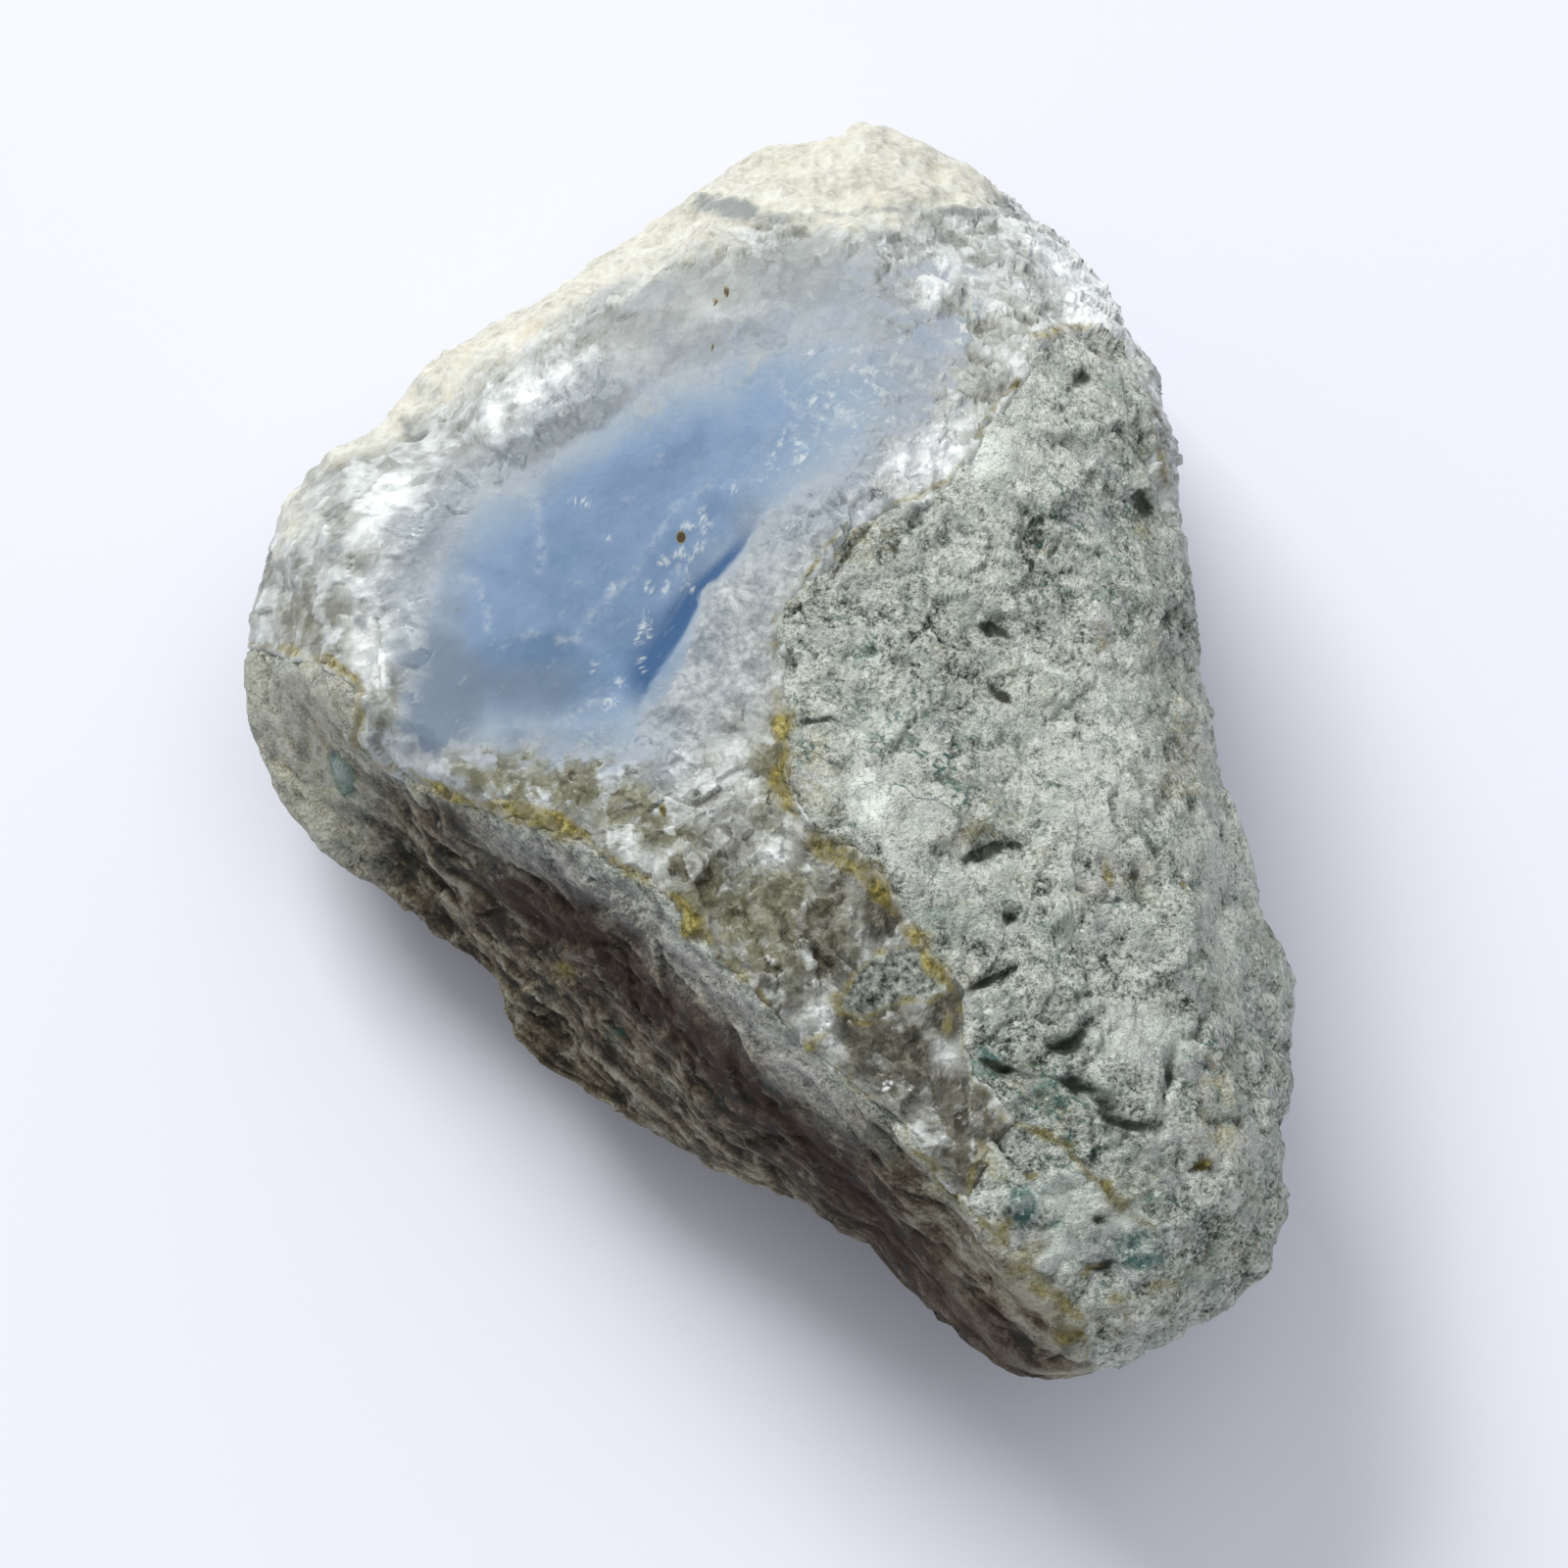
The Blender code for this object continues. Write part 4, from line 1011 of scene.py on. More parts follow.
def stone_points(ball):
    """Where each point of a unit ball goes, with the ball's pole towards the eye."""
    turn = np.arctan2(ball[:, 1], ball[:, 0])
    share = np.clip(np.hypot(ball[:, 0], ball[:, 1]), 0, 1)
    reach, rim_height = outline_at(turn)
    x = reach * share * np.cos(turn)
    y = reach * share * np.sin(turn)
    rim = nearness_at(reach * np.cos(turn), reach * np.sin(turn), rim_height)
    swell = np.clip(front_nearness(x, y) - rim, LEAST_LIP, None)
    front = rim + swell * np.sqrt(1 - share**FRONT_RIM_POWER)
    sink = np.clip(rim - back_nearness(x, y), LEAST_LIP, None)
    back = rim - sink * np.sqrt(1 - share**BACK_RIM_POWER)
    return place(x, y, np.where(ball[:, 2] >= 0, front, back))


def seam_depth(ball, points):
    """How far inside the seam each point is, in millimetres, on the front and down the far walls."""
    x, y = drawn_at(ball, points)
    depth = depth_inside(SEAM_REGION, x, y)
    foot = SEAM_FOOT + layered(points, (waves, SEAM_FOOT_SWAY))
    return np.where(ball[:, 2] >= 0, depth, np.minimum(depth, points[:, 2] - foot))


def drawn_at(ball, points):
    """The place on the face that gives each point its looks; behind the rim it is the rim's own."""
    x, y = seen_at(points)
    turn = np.arctan2(ball[:, 1], ball[:, 0])
    reach, _ = outline_at(turn)
    front = ball[:, 2] >= 0
    return np.where(front, x, reach * np.cos(turn)), np.where(front, y, reach * np.sin(turn))


def rough_height(points, softness):
    """The lumps of the broken surface, the finest of them less where it is softly worn."""
    total = np.zeros(len(points))
    for size, height in ROUGHNESS:
        lumps = np.array([noise.noise(Vector(point) / size + NOISE_SHIFT * size) for point in points])
        total += height * lumps * (1 - softness if size < FINE_ROUGHNESS else 1.0)
    return total


def mesh_points(mesh):
    """The places of a mesh's vertices."""
    points = np.empty(len(mesh.vertices) * 3)
    mesh.vertices.foreach_get("co", points)
    return points.reshape(-1, 3)


def set_points(mesh, points):
    """Move a mesh's vertices."""
    mesh.vertices.foreach_set("co", points.astype(np.float32).ravel())
    mesh.update()


def calm_normals(mesh, rounds):
    """The outward directions at a mesh's vertices, evened out so that none leans into a step."""
    normals = np.empty(len(mesh.vertices) * 3)
    mesh.vertex_normals.foreach_get("vector", normals)
    calm = np.stack([evened(mesh, axis, rounds) for axis in normals.reshape(-1, 3).T], axis=1)
    return calm / np.linalg.norm(calm, axis=1)[:, None]


def rock_ball():
    """A closed ball of even squares, with most of them on the half that faces the eye."""
    ball = bmesh.new()
    bmesh.ops.create_cube(ball, size=2.0)
    bmesh.ops.subdivide_edges(ball, edges=ball.edges[:], cuts=ROCK_CUTS - 1, use_grid_fill=True)
    mesh = bpy.data.meshes.new("host_rock")
    ball.to_mesh(mesh)
    ball.free()
    even = mesh_points(mesh)
    even /= np.linalg.norm(even, axis=1)[:, None]
    angle = np.arccos(np.clip(even[:, 2], -1, 1))
    share = FLAT_SHARE * np.sin(np.minimum(angle, FLAT_ANGLE) / 2) / math.sin(FLAT_ANGLE / 2)
    flat_angle = math.asin(FLAT_SHARE)
    rest = (np.maximum(angle, FLAT_ANGLE) - FLAT_ANGLE) / (math.pi - FLAT_ANGLE)
    angle = np.arcsin(share) + rest * (math.pi - flat_angle)
    turn = np.arctan2(even[:, 1], even[:, 0])
    return mesh, ball_at(angle, turn)


def ball_at(angle, turn):
    """Points of a unit ball, by their angle from the pole and their turn round it."""
    return np.stack([np.sin(angle) * np.cos(turn), np.sin(angle) * np.sin(turn), np.cos(angle)], axis=1)


def seam_sheet():
    """An open sheet of even squares over the front of the ball and past its rim."""
    sheet = bmesh.new()
    bmesh.ops.create_grid(sheet, x_segments=SEAM_CELLS, y_segments=SEAM_CELLS, size=1.0)
    flat = np.array([vert.co[:2] for vert in sheet.verts])
    ring = np.abs(flat).max(axis=1)
    least = np.abs(flat).min(axis=1)
    sway = math.pi / 4 * least / np.maximum(ring, 1e-9)
    octant = np.where(np.abs(flat[:, 0]) >= np.abs(flat[:, 1]), sway, math.pi / 2 - sway)
    turn = np.arctan2(np.sin(octant) * np.sign(flat[:, 1]), np.cos(octant) * np.sign(flat[:, 0]))
    reach = ring * SEAM_SPREAD
    past = np.maximum(reach - FLAT_SHARE, 0) / math.cos(math.asin(FLAT_SHARE))
    angle = np.arcsin(np.minimum(reach, FLAT_SHARE)) + past
    return sheet, ball_at(angle, turn)


def seam_ball():
    """The part of the sheet that the seam covers, closed behind at one point inside the stone."""
    sheet, ball = seam_sheet()
    depth = seam_depth(ball, stone_points(ball))
    wanted = depth > -SEAM_MARGIN
    sheet.verts.ensure_lookup_table()
    for vert, direction in zip(sheet.verts, ball):
        vert.co = Vector(direction)
    spare = [vert for vert, keep in zip(sheet.verts, wanted) if not keep]
    bmesh.ops.delete(sheet, geom=spare, context="VERTS")
    rim = [edge for edge in sheet.edges if edge.is_boundary]
    lip = bmesh.ops.extrude_edge_only(sheet, edges=rim)
    inner = [item for item in lip["geom"] if isinstance(item, bmesh.types.BMVert)]
    bmesh.ops.pointmerge(sheet, verts=inner, merge_co=(0, 0, 0))
    bmesh.ops.recalc_face_normals(sheet, faces=sheet.faces)
    mesh = bpy.data.meshes.new("opal_seam")
    sheet.to_mesh(mesh)
    sheet.free()
    return mesh, mesh_points(mesh)


def over_table(points):
    """The stone's points in metres, with its box over the origin and inside the solid's own box."""
    moved = (points - np.array((*STONE_MIDDLE, 0.0))) * MM
    return np.clip(moved, np.array(CAD_BOX[0]), np.array(CAD_BOX[1]))


def finished(mesh, points, numbers, material, slot_name):
    """Put the mesh in its place on the table, with its material, its numbers and its part in the frame."""
    set_points(mesh, over_table(points))
    for name, values in numbers.items():
        layer = mesh.attributes.new(name, "FLOAT", "POINT")
        layer.data.foreach_set("value", values.astype(np.float32))
    mesh.shade_smooth()
    mesh.materials.append(material)
    piece = bpy.data.objects.new(mesh.name, mesh)
    bpy.context.scene.collection.objects.link(piece)
    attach(piece, "root")
    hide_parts(STONE_NODE)


def ochre_strength(points, depth, x, y):
    """The rusty clay along the seam's edges, thick and thin by turns: how strong it is at each place."""
    wide = patches(WIDE_OCHRE, x, y)
    strength = CLAY_STRENGTH + CLAY_WIDE_STRENGTH * wide + layered(points, (waves, CLAY_FLOW))
    strength -= CLAY_THIN_BY_OPAL * ease(y, *CLAY_OPAL_Y) * ease(x, *CLAY_OPAL_X)
    strength -= CLAY_THIN_BY_TOE * ease(-y, *CLAY_TOE) + patches(OCHRE_GAPS, x, y)
    middle = CLAY_OUT + CLAY_WIDE_OUT * wide + layered(points, (waves, CLAY_SWAY))
    return np.maximum(patches(OCHRE_SPOTS, x, y), strength * hump(depth, middle, CLAY_WIDTH + wide))


def vein_clay(points, x, y):
    """The clay in the toe's vein and along the last of the seam's edge."""
    strength = VEIN_CLAY + layered(points, (waves, VEIN_FLOW))
    sway = layered(points, (waves, VEIN_SWAY))
    veins = [distance_to_line(line, x, y)[0] + sway for line in (TOE_VEIN, SEAM_EDGE[LAST_OF_EDGE:])]
    return np.max([strength * hump(vein, 0, VEIN_WIDTH) for vein in veins], axis=0)


def shape_rock(relief):
    """The host rock's mesh, its points in millimetres, and the numbers that its material reads."""
    mesh, ball = rock_ball()
    base = stone_points(ball)
    set_points(mesh, base)
    normals = calm_normals(mesh, ROCK_ROUNDS)
    points = base + normals * rough_height(base, 0.0)[:, None]
    x, y = drawn_at(ball, points)
    edge, _ = distance_to_line(SEAM_EDGE, x, y)
    dark = ease(edge + layered(points, (waves, DARK_SWAY)), *DARK_EDGE)
    broken, cracks = broken_rock(points)
    height = relief * ((1 - dark) * broken + dark * worn_layers(points))
    depth = seam_depth(ball, points)
    cut = grooves(x, y)
    lie = height + cut + spots(x, y, PITS, -1)
    # How far each place stands over its evened neighbours: the materials paint shade in the hollows and
    # light on the ridges by it
    over = lie - evened(mesh, lie, HOLLOW_ROUNDS)
    height -= RECESS_DEPTH * ease(depth, *RECESS_EDGE)
    points = points + normals * height[:, None]
    numbers = {name: patches(places, x, y) for name, places in ROCK_PATCHES.items()}
    # The broad painted shade, less where the light patches lie, which make the rock paler where they
    # outweigh it
    numbers["gloom"] -= patches(LIGHT_PATCHES, x, y)
    # The shade number is painted shade: its patches, deepened in the grooves and the cracks, and none where
    # the rock is pale
    shade = numbers["shade"] - SHADE_IN_GROOVES * cut + SHADE_IN_CRACKS * cracks
    numbers["shade"] = np.clip(shade - numbers["pale"], 0, 1)
    numbers["ochre"] = np.maximum(ochre_strength(points, depth, x, y), vein_clay(points, x, y))
    numbers["over"] = over
    numbers.update(side_numbers(points, x, edge, dark))
    return mesh, points, numbers


def side_numbers(points, x, edge, dark):
    """The numbers of the dark side: how dark it is, its bevel, its maroon band and where it is paler."""
    cheek = ease(-x + layered(points, (waves, CHEEK_SWAY)), *CHEEK_EDGE)
    begun = ease(x, *SIDE_START)
    foot = np.maximum(ease(edge, *PALER_SIDE_FOOT) * ease(x, *PALER_SIDE_FOOT_X), ease(x, *PALER_SIDE_TOE_X))
    return {
        "dark": dark * (1 - CHEEK_PALER * cheek),
        "bevel": hump(edge, *BEVEL) * begun * (1 - ease(x, *BEVEL_END)),
        "band": hump(edge, *MAROON_BAND) * begun,
        "worn": PALER_SIDE_END_SHARE * ease(-x, *PALER_SIDE_END) + PALER_SIDE_FOOT_SHARE * foot,
    }


def broken_rock(points):
    """The rock's relief, chipped faces with ridges over them, and the cracks between them."""
    large, _, large_gap = bent_facets(points, *LARGE_CHIPS)
    middle, _, middle_gap = bent_facets(points, *MIDDLE_CHIPS)
    small, _, _ = bent_facets(points, *SMALL_CHIPS)
    open_here = layered(points, (waves, CRACK_PLACES))
    cracks = np.maximum(
        (1 - ease(large_gap, *LARGE_CRACK)) * ease(open_here, *LARGE_CRACK_PLACES),
        (1 - ease(middle_gap, *MIDDLE_CRACK)) * ease(-open_here, *MIDDLE_CRACK_PLACES),
    )
    chipped = sum(share * height for share, height in zip(CHIP_HEIGHTS, (large, middle, small)))
    return chipped - CRACK_DEPTH * cracks + layered(points, (ridges, ROCK_RIDGES)), cracks


def worn_layers(points):
    """The dark side's relief: worn layers that run along the seam's near edge."""
    along, across = turned(points[:, 0], points[:, 1], EDGE_TURN)
    streaks = warped(np.stack([along * EDGE_STRETCH, across, points[:, 2]], axis=1), *LAYER_SWAY)
    worn = sum(height * facets(streaks, size, seed)[0] for height, size, seed in LAYERS)
    return worn + layered(streaks, (ridges, LAYER_RIDGES)) + layered(points, (ridges, GRIT_RIDGES))


def arcs(x, y):
    """How near each place is to one of the fine shell-shaped ripples in the opal."""
    near = np.zeros(x.shape)
    for line in ARCS:
        side, along = distance_to_line(line, x, y)
        near = np.maximum(near, window(along, *RIPPLE_FADE) * hump(side, 0, RIPPLE_WIDTH))
    return near


def shape_seam(relief):
    """The seam's mesh, its points in millimetres, and the numbers that its material reads."""
    mesh, ball = seam_ball()
    heart = np.linalg.norm(ball, axis=1) < 0.5
    ball[heart] = (0.0, 0.0, 1.0)
    base = stone_points(ball)
    set_points(mesh, base)
    normals = calm_normals(mesh, SEAM_ROUNDS)
    x, y = drawn_at(ball, base)
    opal = opal_share(base, x, y, 0.0)
    points = base + normals * rough_height(base, OPAL_CALM * opal)[:, None]
    x, y = drawn_at(ball, points)
    coarse, coarse_chance, _ = bent_facets(points, *COARSE_CRYSTALS)
    fine, fine_chance, _ = bent_facets(points, *FINE_CRYSTALS)
    teeth = coarse_chance + fine_chance - 1.0
    rind_side, _ = distance_to_line(RIND_EDGE, x, y)
    rind = ease(layered(points, (waves, RIND_SWAY)) - rind_side, *RIND_BORDER)
    opal = opal_share(points, x, y, teeth)
    smooth = np.maximum(opal, MILKY_SHARE * smooth_share(points, x, y, teeth)) * (1 - rind)
    soft = ease(-x, *SOFT_REACH)
    sway = warped(points, *RIPPLE_SWAY) - points
    ripple = arcs(x + sway[:, 0], y + sway[:, 1])
    chip, chip_height = chips(points, x, y)
    crystals = COARSE_HEIGHT * coarse + (FINE_HEIGHT - SOFTER_BY * soft) * fine
    height = relief * (seam_height(points, crystals, smooth, opal, rind, ripple) + chip_height)
    depth = seam_depth(ball, points)
    height -= DIVE_DEPTH * ease(-depth, *DIVE_EDGE)
    points = points + normals * height[:, None]
    points[heart] = SEAM_HEART
    numbers = {
        "opal": opal,
        "smooth": smooth,
        "soft": soft,
        "rind": rind,
        "chip": chip,
        "ripple": ripple,
        "facet": coarse_chance,
        "fleck": fine_chance,
        # how far each place stands over its neighbours, by which the quartz is painted with shade and light
        "over": height - evened(mesh, height, HOLLOW_ROUNDS),
    }
    numbers.update((name, patches(places, x, y)) for name, places in SEAM_PATCHES.items())
    # The shade number is painted shade in the seam's small hollows: broken up by the crystals, and none
    # behind the rim
    numbers["shade"] *= (CAVITY_LEAST + CAVITY_BY_FACET * fine_chance) * ease(ball[:, 2], *BEHIND_RIM)
    numbers.update(seam_zones(points, x, y, depth))
    return mesh, points, numbers


def seam_height(points, crystals, smooth, opal, rind, ripple):
    """The seam's relief: crystals in the quartz, ridges in the rind, and a calm swell in the rest."""
    height = (1 - smooth) * (1 - rind) * (crystals + layered(points, (waves, QUARTZ_SWELL)))
    height += rind * layered(points, (waves, RIND_SWELL), (ridges, RIND_RIDGES))
    height += smooth * (1 - opal) * layered(points, (waves, MILKY_SWELL))
    return height + opal * (layered(points, (waves, OPAL_SWELL)) + RIPPLE_HEIGHT * ripple)


def seam_zones(points, x, y, depth):
    """The numbers of the seam's zones: the opal's depth and band, the slope, the halo and the island."""
    crest_side, _ = distance_to_line(CREST, x, y)
    halo = depth_inside(OPAL_REGION, x, y) + layered(points, (waves, HALO_SWAY))
    island = depth_inside(ISLAND, x, y)
    island_clay = ISLAND_CLAY * hump(island, 0, ISLAND_CLAY_WIDTH)
    return {
        "deep": opal_depth(x, y),
        "band": crest_band(x, y),
        "frosted": round_zone(x, y, *FROSTED_ZONE) * ease(crest_side, *FROSTED_EDGE),
        "halo": ease(halo, *HALO_REACH) * (1 - ease(x, *HALO_END)),
        "low": ease(-y, *LOW_REACH),
        "island": ease(island, *ISLAND_EDGE),
        "ochre": np.maximum(ochre_strength(points, depth, x, y), island_clay),
    }


def crest_band(x, y):
    """The dark band in the opal below its crest, which narrows from the crest's near end to its far end."""
    side, _ = distance_to_line(CREST, x, y)
    along = share_along_crest(x, y)
    width = BAND_WIDTH + BAND_WIDER * hump(along, *BAND_MIDDLE)
    return window(along, *BAND_SPAN) * ease(-side, *BAND_START) * (1 - ease(-side, BAND_FULL * width, width))


def opal_share(points, x, y, teeth):
    """How much of each place is blue opal: one inside, with a border that is cloudier to the right."""
    depth = depth_inside(OPAL_REGION, x, y) + layered(points, (waves, OPAL_SWAY))
    right = OPAL_BORDER_RIGHT + OPAL_BORDER_FAR * ease(y, *OPAL_FAR_Y)
    border = OPAL_BORDER + right * ease(x, *OPAL_RIGHT_X)
    border += OPAL_BORDER_BELOW * ease(-y, *OPAL_BELOW_Y) + OPAL_BORDER_LEFT * ease(-x, *OPAL_LEFT_X)
    stand = OPAL_TEETH * (1 + ease(y, *TEETH_Y) * (1 - ease(x, *TEETH_X)))
    return ease(depth / border + stand * teeth, -1.0, 1.0)


def smooth_share(points, x, y, teeth):
    """How much of each place is smooth and milky rather than crystals."""
    depth = depth_inside(MILKY_REGION, x, y) + layered(points, (waves, MILKY_SWAY))
    border = MILKY_BORDER + MILKY_BORDER_WIDER * ease(-y, *MILKY_WIDER_Y) * ease(x, *MILKY_WIDER_X)
    return ease(depth + MILKY_TEETH * teeth, -border, border)


def opal_depth(x, y):
    """How deep the opal's blue is: paler at its border and away along its length."""
    along, _ = turned(x, y, PALE_TURN)
    inside = ease(depth_inside(OPAL_REGION, x, y), *OPAL_DEPTH_EDGE)
    return OPAL_DEPTH * inside * (1 - PALE_LOSS * ease(along, *PALE_REACH)) + patches(DEEP_PATCHES, x, y)


def chips(points, x, y):
    """The small white chips broken out of the opal: how white each place is, and its height."""
    height, own, gap = bent_facets(points, *OPAL_CHIPS)
    inside = ease(gap, *CHIP_EDGE) * ease(CHIP_SHARE * patches(CHIP_PATCHES, x, y) - own, *CHIP_RISE)
    return inside, CHIP_HEIGHT * inside * (height + CHIP_STAND)


class Recipe:
    """Short words for the nodes of one material, where a name stands for a cloud, or for a number on
    the mesh, or, as a colour, for one of the stone's colours.
    """

    def __init__(self, name, colours):
        self.material = bpy.data.materials.new(name)
        self.material.use_nodes = True
        self.nodes = self.material.node_tree.nodes
        self.links = self.material.node_tree.links
        self.places = self.nodes.new("ShaderNodeTexCoord").outputs["Object"]
        self.colours = colours
        self.named = {}

    def value(self, name):
        """A named value, whose node is made when it is first wanted."""
        if name not in self.named:
            if name in CLOUDS:
                self.named[name] = self.cloud(*CLOUDS[name])
            else:
                self.named[name] = self.node("Attribute", "Fac", {}, attribute_name=name)
        return self.named[name]

    def colour(self, value):
        """A colour by its name, or as it is."""
        return getattr(self.colours, value) if isinstance(value, str) else value

    def feed(self, socket, value):
        """Join a socket to an output or to a named value, or set it to a plain value."""
        if isinstance(value, str):
            value = self.value(value)
        if isinstance(value, bpy.types.NodeSocket):
            self.links.new(value, socket)
        else:
            socket.default_value = value

    def node(self, kind, output, inputs, **settings):
        """A new node with its settings and its inputs: the output that is wanted of it."""
        node = self.nodes.new("ShaderNode" + kind)
        for name, value in settings.items():
            setattr(node, name, value)
        for name, value in inputs.items():
            self.feed(node.inputs[name], value)
        return node.outputs[output]

    def finish(self, values):
        """Feed the shader's own sockets, by name."""
        for name, value in values.items():
            self.feed(self.nodes["Principled BSDF"].inputs[name], value)

    def cloud(self, size, detail, roughness, turn=0.0, stretch=1.0):
        """Smooth random values with lumps of one size in millimetres, which may be drawn out level."""
        places = self.places
        if stretch != 1.0:
            inputs = {"Vector": places, "Rotation": (0, 0, turn), "Scale": (stretch, 1.0, 1.0)}
            places = self.node("Mapping", "Vector", inputs, vector_type="TEXTURE")
        inputs = {"Vector": places, "Scale": 1 / (size * MM), "Detail": detail, "Roughness": roughness}
        return self.node("TexNoise", "Fac", inputs)

    def vector_maths(self, kind, *values):
        """One sum on two or three vectors."""
        output = "Value" if kind == "DOT_PRODUCT" else "Vector"
        return self.node("VectorMath", output, dict(enumerate(values)), operation=kind)

    def crystals(self, size):
        """Broken crystal faces of one size in millimetres: each one's chance, and its lean as a height."""
        scale = 1 / (size * MM)
        bend = self.node("TexNoise", "Color", {"Vector": self.places, "Scale": scale})
        bent = self.vector_maths("MULTIPLY_ADD", bend, (size * MM,) * 3, self.places)
        own = self.node("TexVoronoi", "Color", {"Vector": bent, "Scale": scale})
        away = self.vector_maths("SUBTRACT", bent, own.node.outputs["Position"])
        lean = self.vector_maths("SUBTRACT", own, (0.5, 0.5, 0.5))
        return self.times(own, 1.0), self.times(self.vector_maths("DOT_PRODUCT", away, lean), 1 / MM)

    def rise(self, value, low, high, to=1.0):
        """Zero below low, one above high, and smooth between."""
        inputs = {"Value": value, "From Min": low, "From Max": high, "To Max": to}
        return self.node("MapRange", "Result", inputs, interpolation_type="SMOOTHSTEP")

    def maths(self, kind, first, second):
        """One sum on two values."""
        return self.node("Math", "Value", {0: first, 1: second}, operation=kind)

    def times(self, *values):
        """The product of several values."""
        return functools.reduce(lambda total, value: self.maths("MULTIPLY", total, value), values)

    def plus(self, *values):
        """The sum of several values."""
        return functools.reduce(lambda total, value: self.maths("ADD", total, value), values)

    def weighed(self, base=0.0, **weights):
        """The sum of named values, each times its weight."""
        return self.plus(*(self.times(name, weight) for name, weight in weights.items()), base)

    def between(self, first, second, share, data_type, kind):
        """A value between two values of one kind."""
        node = self.nodes.new("ShaderNodeMix")
        node.data_type = data_type
        sockets = {item.identifier: item for item in (*node.inputs, *node.outputs)}
        self.feed(sockets["Factor_Float"], share)
        self.feed(sockets["A_" + kind], first)
        self.feed(sockets["B_" + kind], second)
        return sockets["Result_" + kind]

    def blend(self, first, second, share):
        """A number between two numbers."""
        return self.between(first, second, share, "FLOAT", "Float")

    def coated(self, colour, *coats):
        """A colour with others laid over it in turn, each with how much of it covers each place."""
        for coat, share in coats:
            colour = self.between(self.colour(colour), self.colour(coat), share, "RGBA", "Color")
        return colour

    def ramp(self, value, **stops):
        """A colour by a value, from several named colours and where each one stands."""
        node = self.nodes.new("ShaderNodeValToRGB")
        self.feed(node.inputs["Fac"], value)
        elements = node.color_ramp.elements
        while len(elements) < len(stops):
            elements.new(0.5)
        for element, (name, place_on) in zip(elements, stops.items()):
            element.position = place_on
            element.color = self.colour(name)
        return node.outputs["Color"]

    def bump(self, height, distance, **before):
        """Fine relief by height, in millimetres."""
        return self.node("Bump", "Normal", {"Distance": distance * MM, "Height": height, **before})


def rock_material(colours):
    """Broken grey-green rock: pale and dark grains, teal and tan stains, the dark side, and painted shade in
    its pits, gaps and hollows with painted light on its ridges.
    """
    rock = Recipe("grey_green_rock", colours)
    # The grains' tone, darker as painted shade in the relief's hollows and on the broad shaded parts, and
    # lighter as painted light on its ridges
    colour = rock.ramp(
        rock.weighed(-0.12, grain=0.62, mottle=0.46, broad=0.16, over=0.18, gloom=-0.055),
        rock_dark=0.34, rock_shade=0.42, rock_middle=0.49, rock_light=0.60,
    )
    wisps = rock.rise(rock.maths("ABSOLUTE", rock.plus("wavy", -0.5), 0.0), 0.035, 0.0)
    wispy = rock.plus("teal", rock.rise("wispy", 0.46, 0.62, 0.6))
    rock.named["teal_places"] = rock.weighed(teal=1.0, small=1.3)
    tinge = rock.times(rock.rise("tinge", 0.46, 0.62), rock.rise("mottle", 0.44, 0.56), 0.6)
    tan_places = rock.plus("tan", rock.rise("stains", 0.54, 0.68, 0.6))
    flakes = rock.rise("speckles", 0.58, 0.66, 0.7)
    colour = rock.coated(
        colour,
        ("rock_teal", rock.times(wisps, wispy, 0.9)),
        ("rock_wash", rock.rise("teal_places", 1.10, 1.90, 0.45)),
        ("rock_teal", rock.rise("teal_places", 1.60, 2.20)),
        ("rock_green", tinge),
        ("rock_tan", rock.times(tan_places, rock.rise("speckles", 0.42, 0.60), 0.6)),
        ("rock_white", rock.times(rock.maths("MAXIMUM", "pale", flakes), 0.8)),
        ("rock_lilac", rock.rise("lilac", 0.53, 0.66, 0.38)),
    )
    granular = rock.coated(colour, ("rock_lilac", 0.3))
    side = rock.coated(side_colour(rock), (granular, rock.times("bevel", 0.75)))
    # Painted shade in the rock's colour: the pits and crevices, partly their own dark, and the hollows of
    # the relief
    pits = rock.rise(rock.weighed(shade=1.0, small=1.1, grain=0.5), 1.15, 1.75)
    rock_hollow_shade = rock.times(rock.rise("over", -0.20, -0.60), rock.rise("pale", 0.6, 0.1), 0.7)
    shade = rock.times(rock.maths("MAXIMUM", pits, rock_hollow_shade), 0.95)
    colour = rock.coated(colour, (side, "dark"), ("rock_dark", shade))
    rock.finish({
        "Base Color": clay_over(rock, colour, "small"),
        "Roughness": 0.88,
        "Specular IOR Level": 0.3,
        "Normal": rock.bump("mottle", 0.8, Normal=rock.bump("grain", 0.26)),
    })
    return rock.material


def side_colour(rock):
    """The dark side: grey-brown streaks along the seam's edge, with a maroon band and teal spots, its browns
    darkened as painted shade where it faces away from the light, and painted shade in its crevices with
    painted light on its ridges.
    """
    side = rock.ramp(
        rock.weighed(streaks=0.45, grain=0.25, side_mottle=0.30, worn=0.11, over=0.42, band=-0.07),
        side_dark=0.41, side_brown=0.49, side_grey=0.57, side_beige=0.66,
    )
    return rock.coated(
        side,
        ("side_beige", rock.rise("side_lumps", 0.55, 0.66, 0.55)),
        ("side_maroon", rock.times("band", 0.72)),
        ("side_teal", rock.rise("blotches", 0.54, 0.64, 0.6)),
        ("rock_teal", rock.rise("teal_places", 1.40, 1.80, 0.8)),
        ("rock_wash", rock.rise("teal_places", 1.85, 2.15, 0.7)),
    )


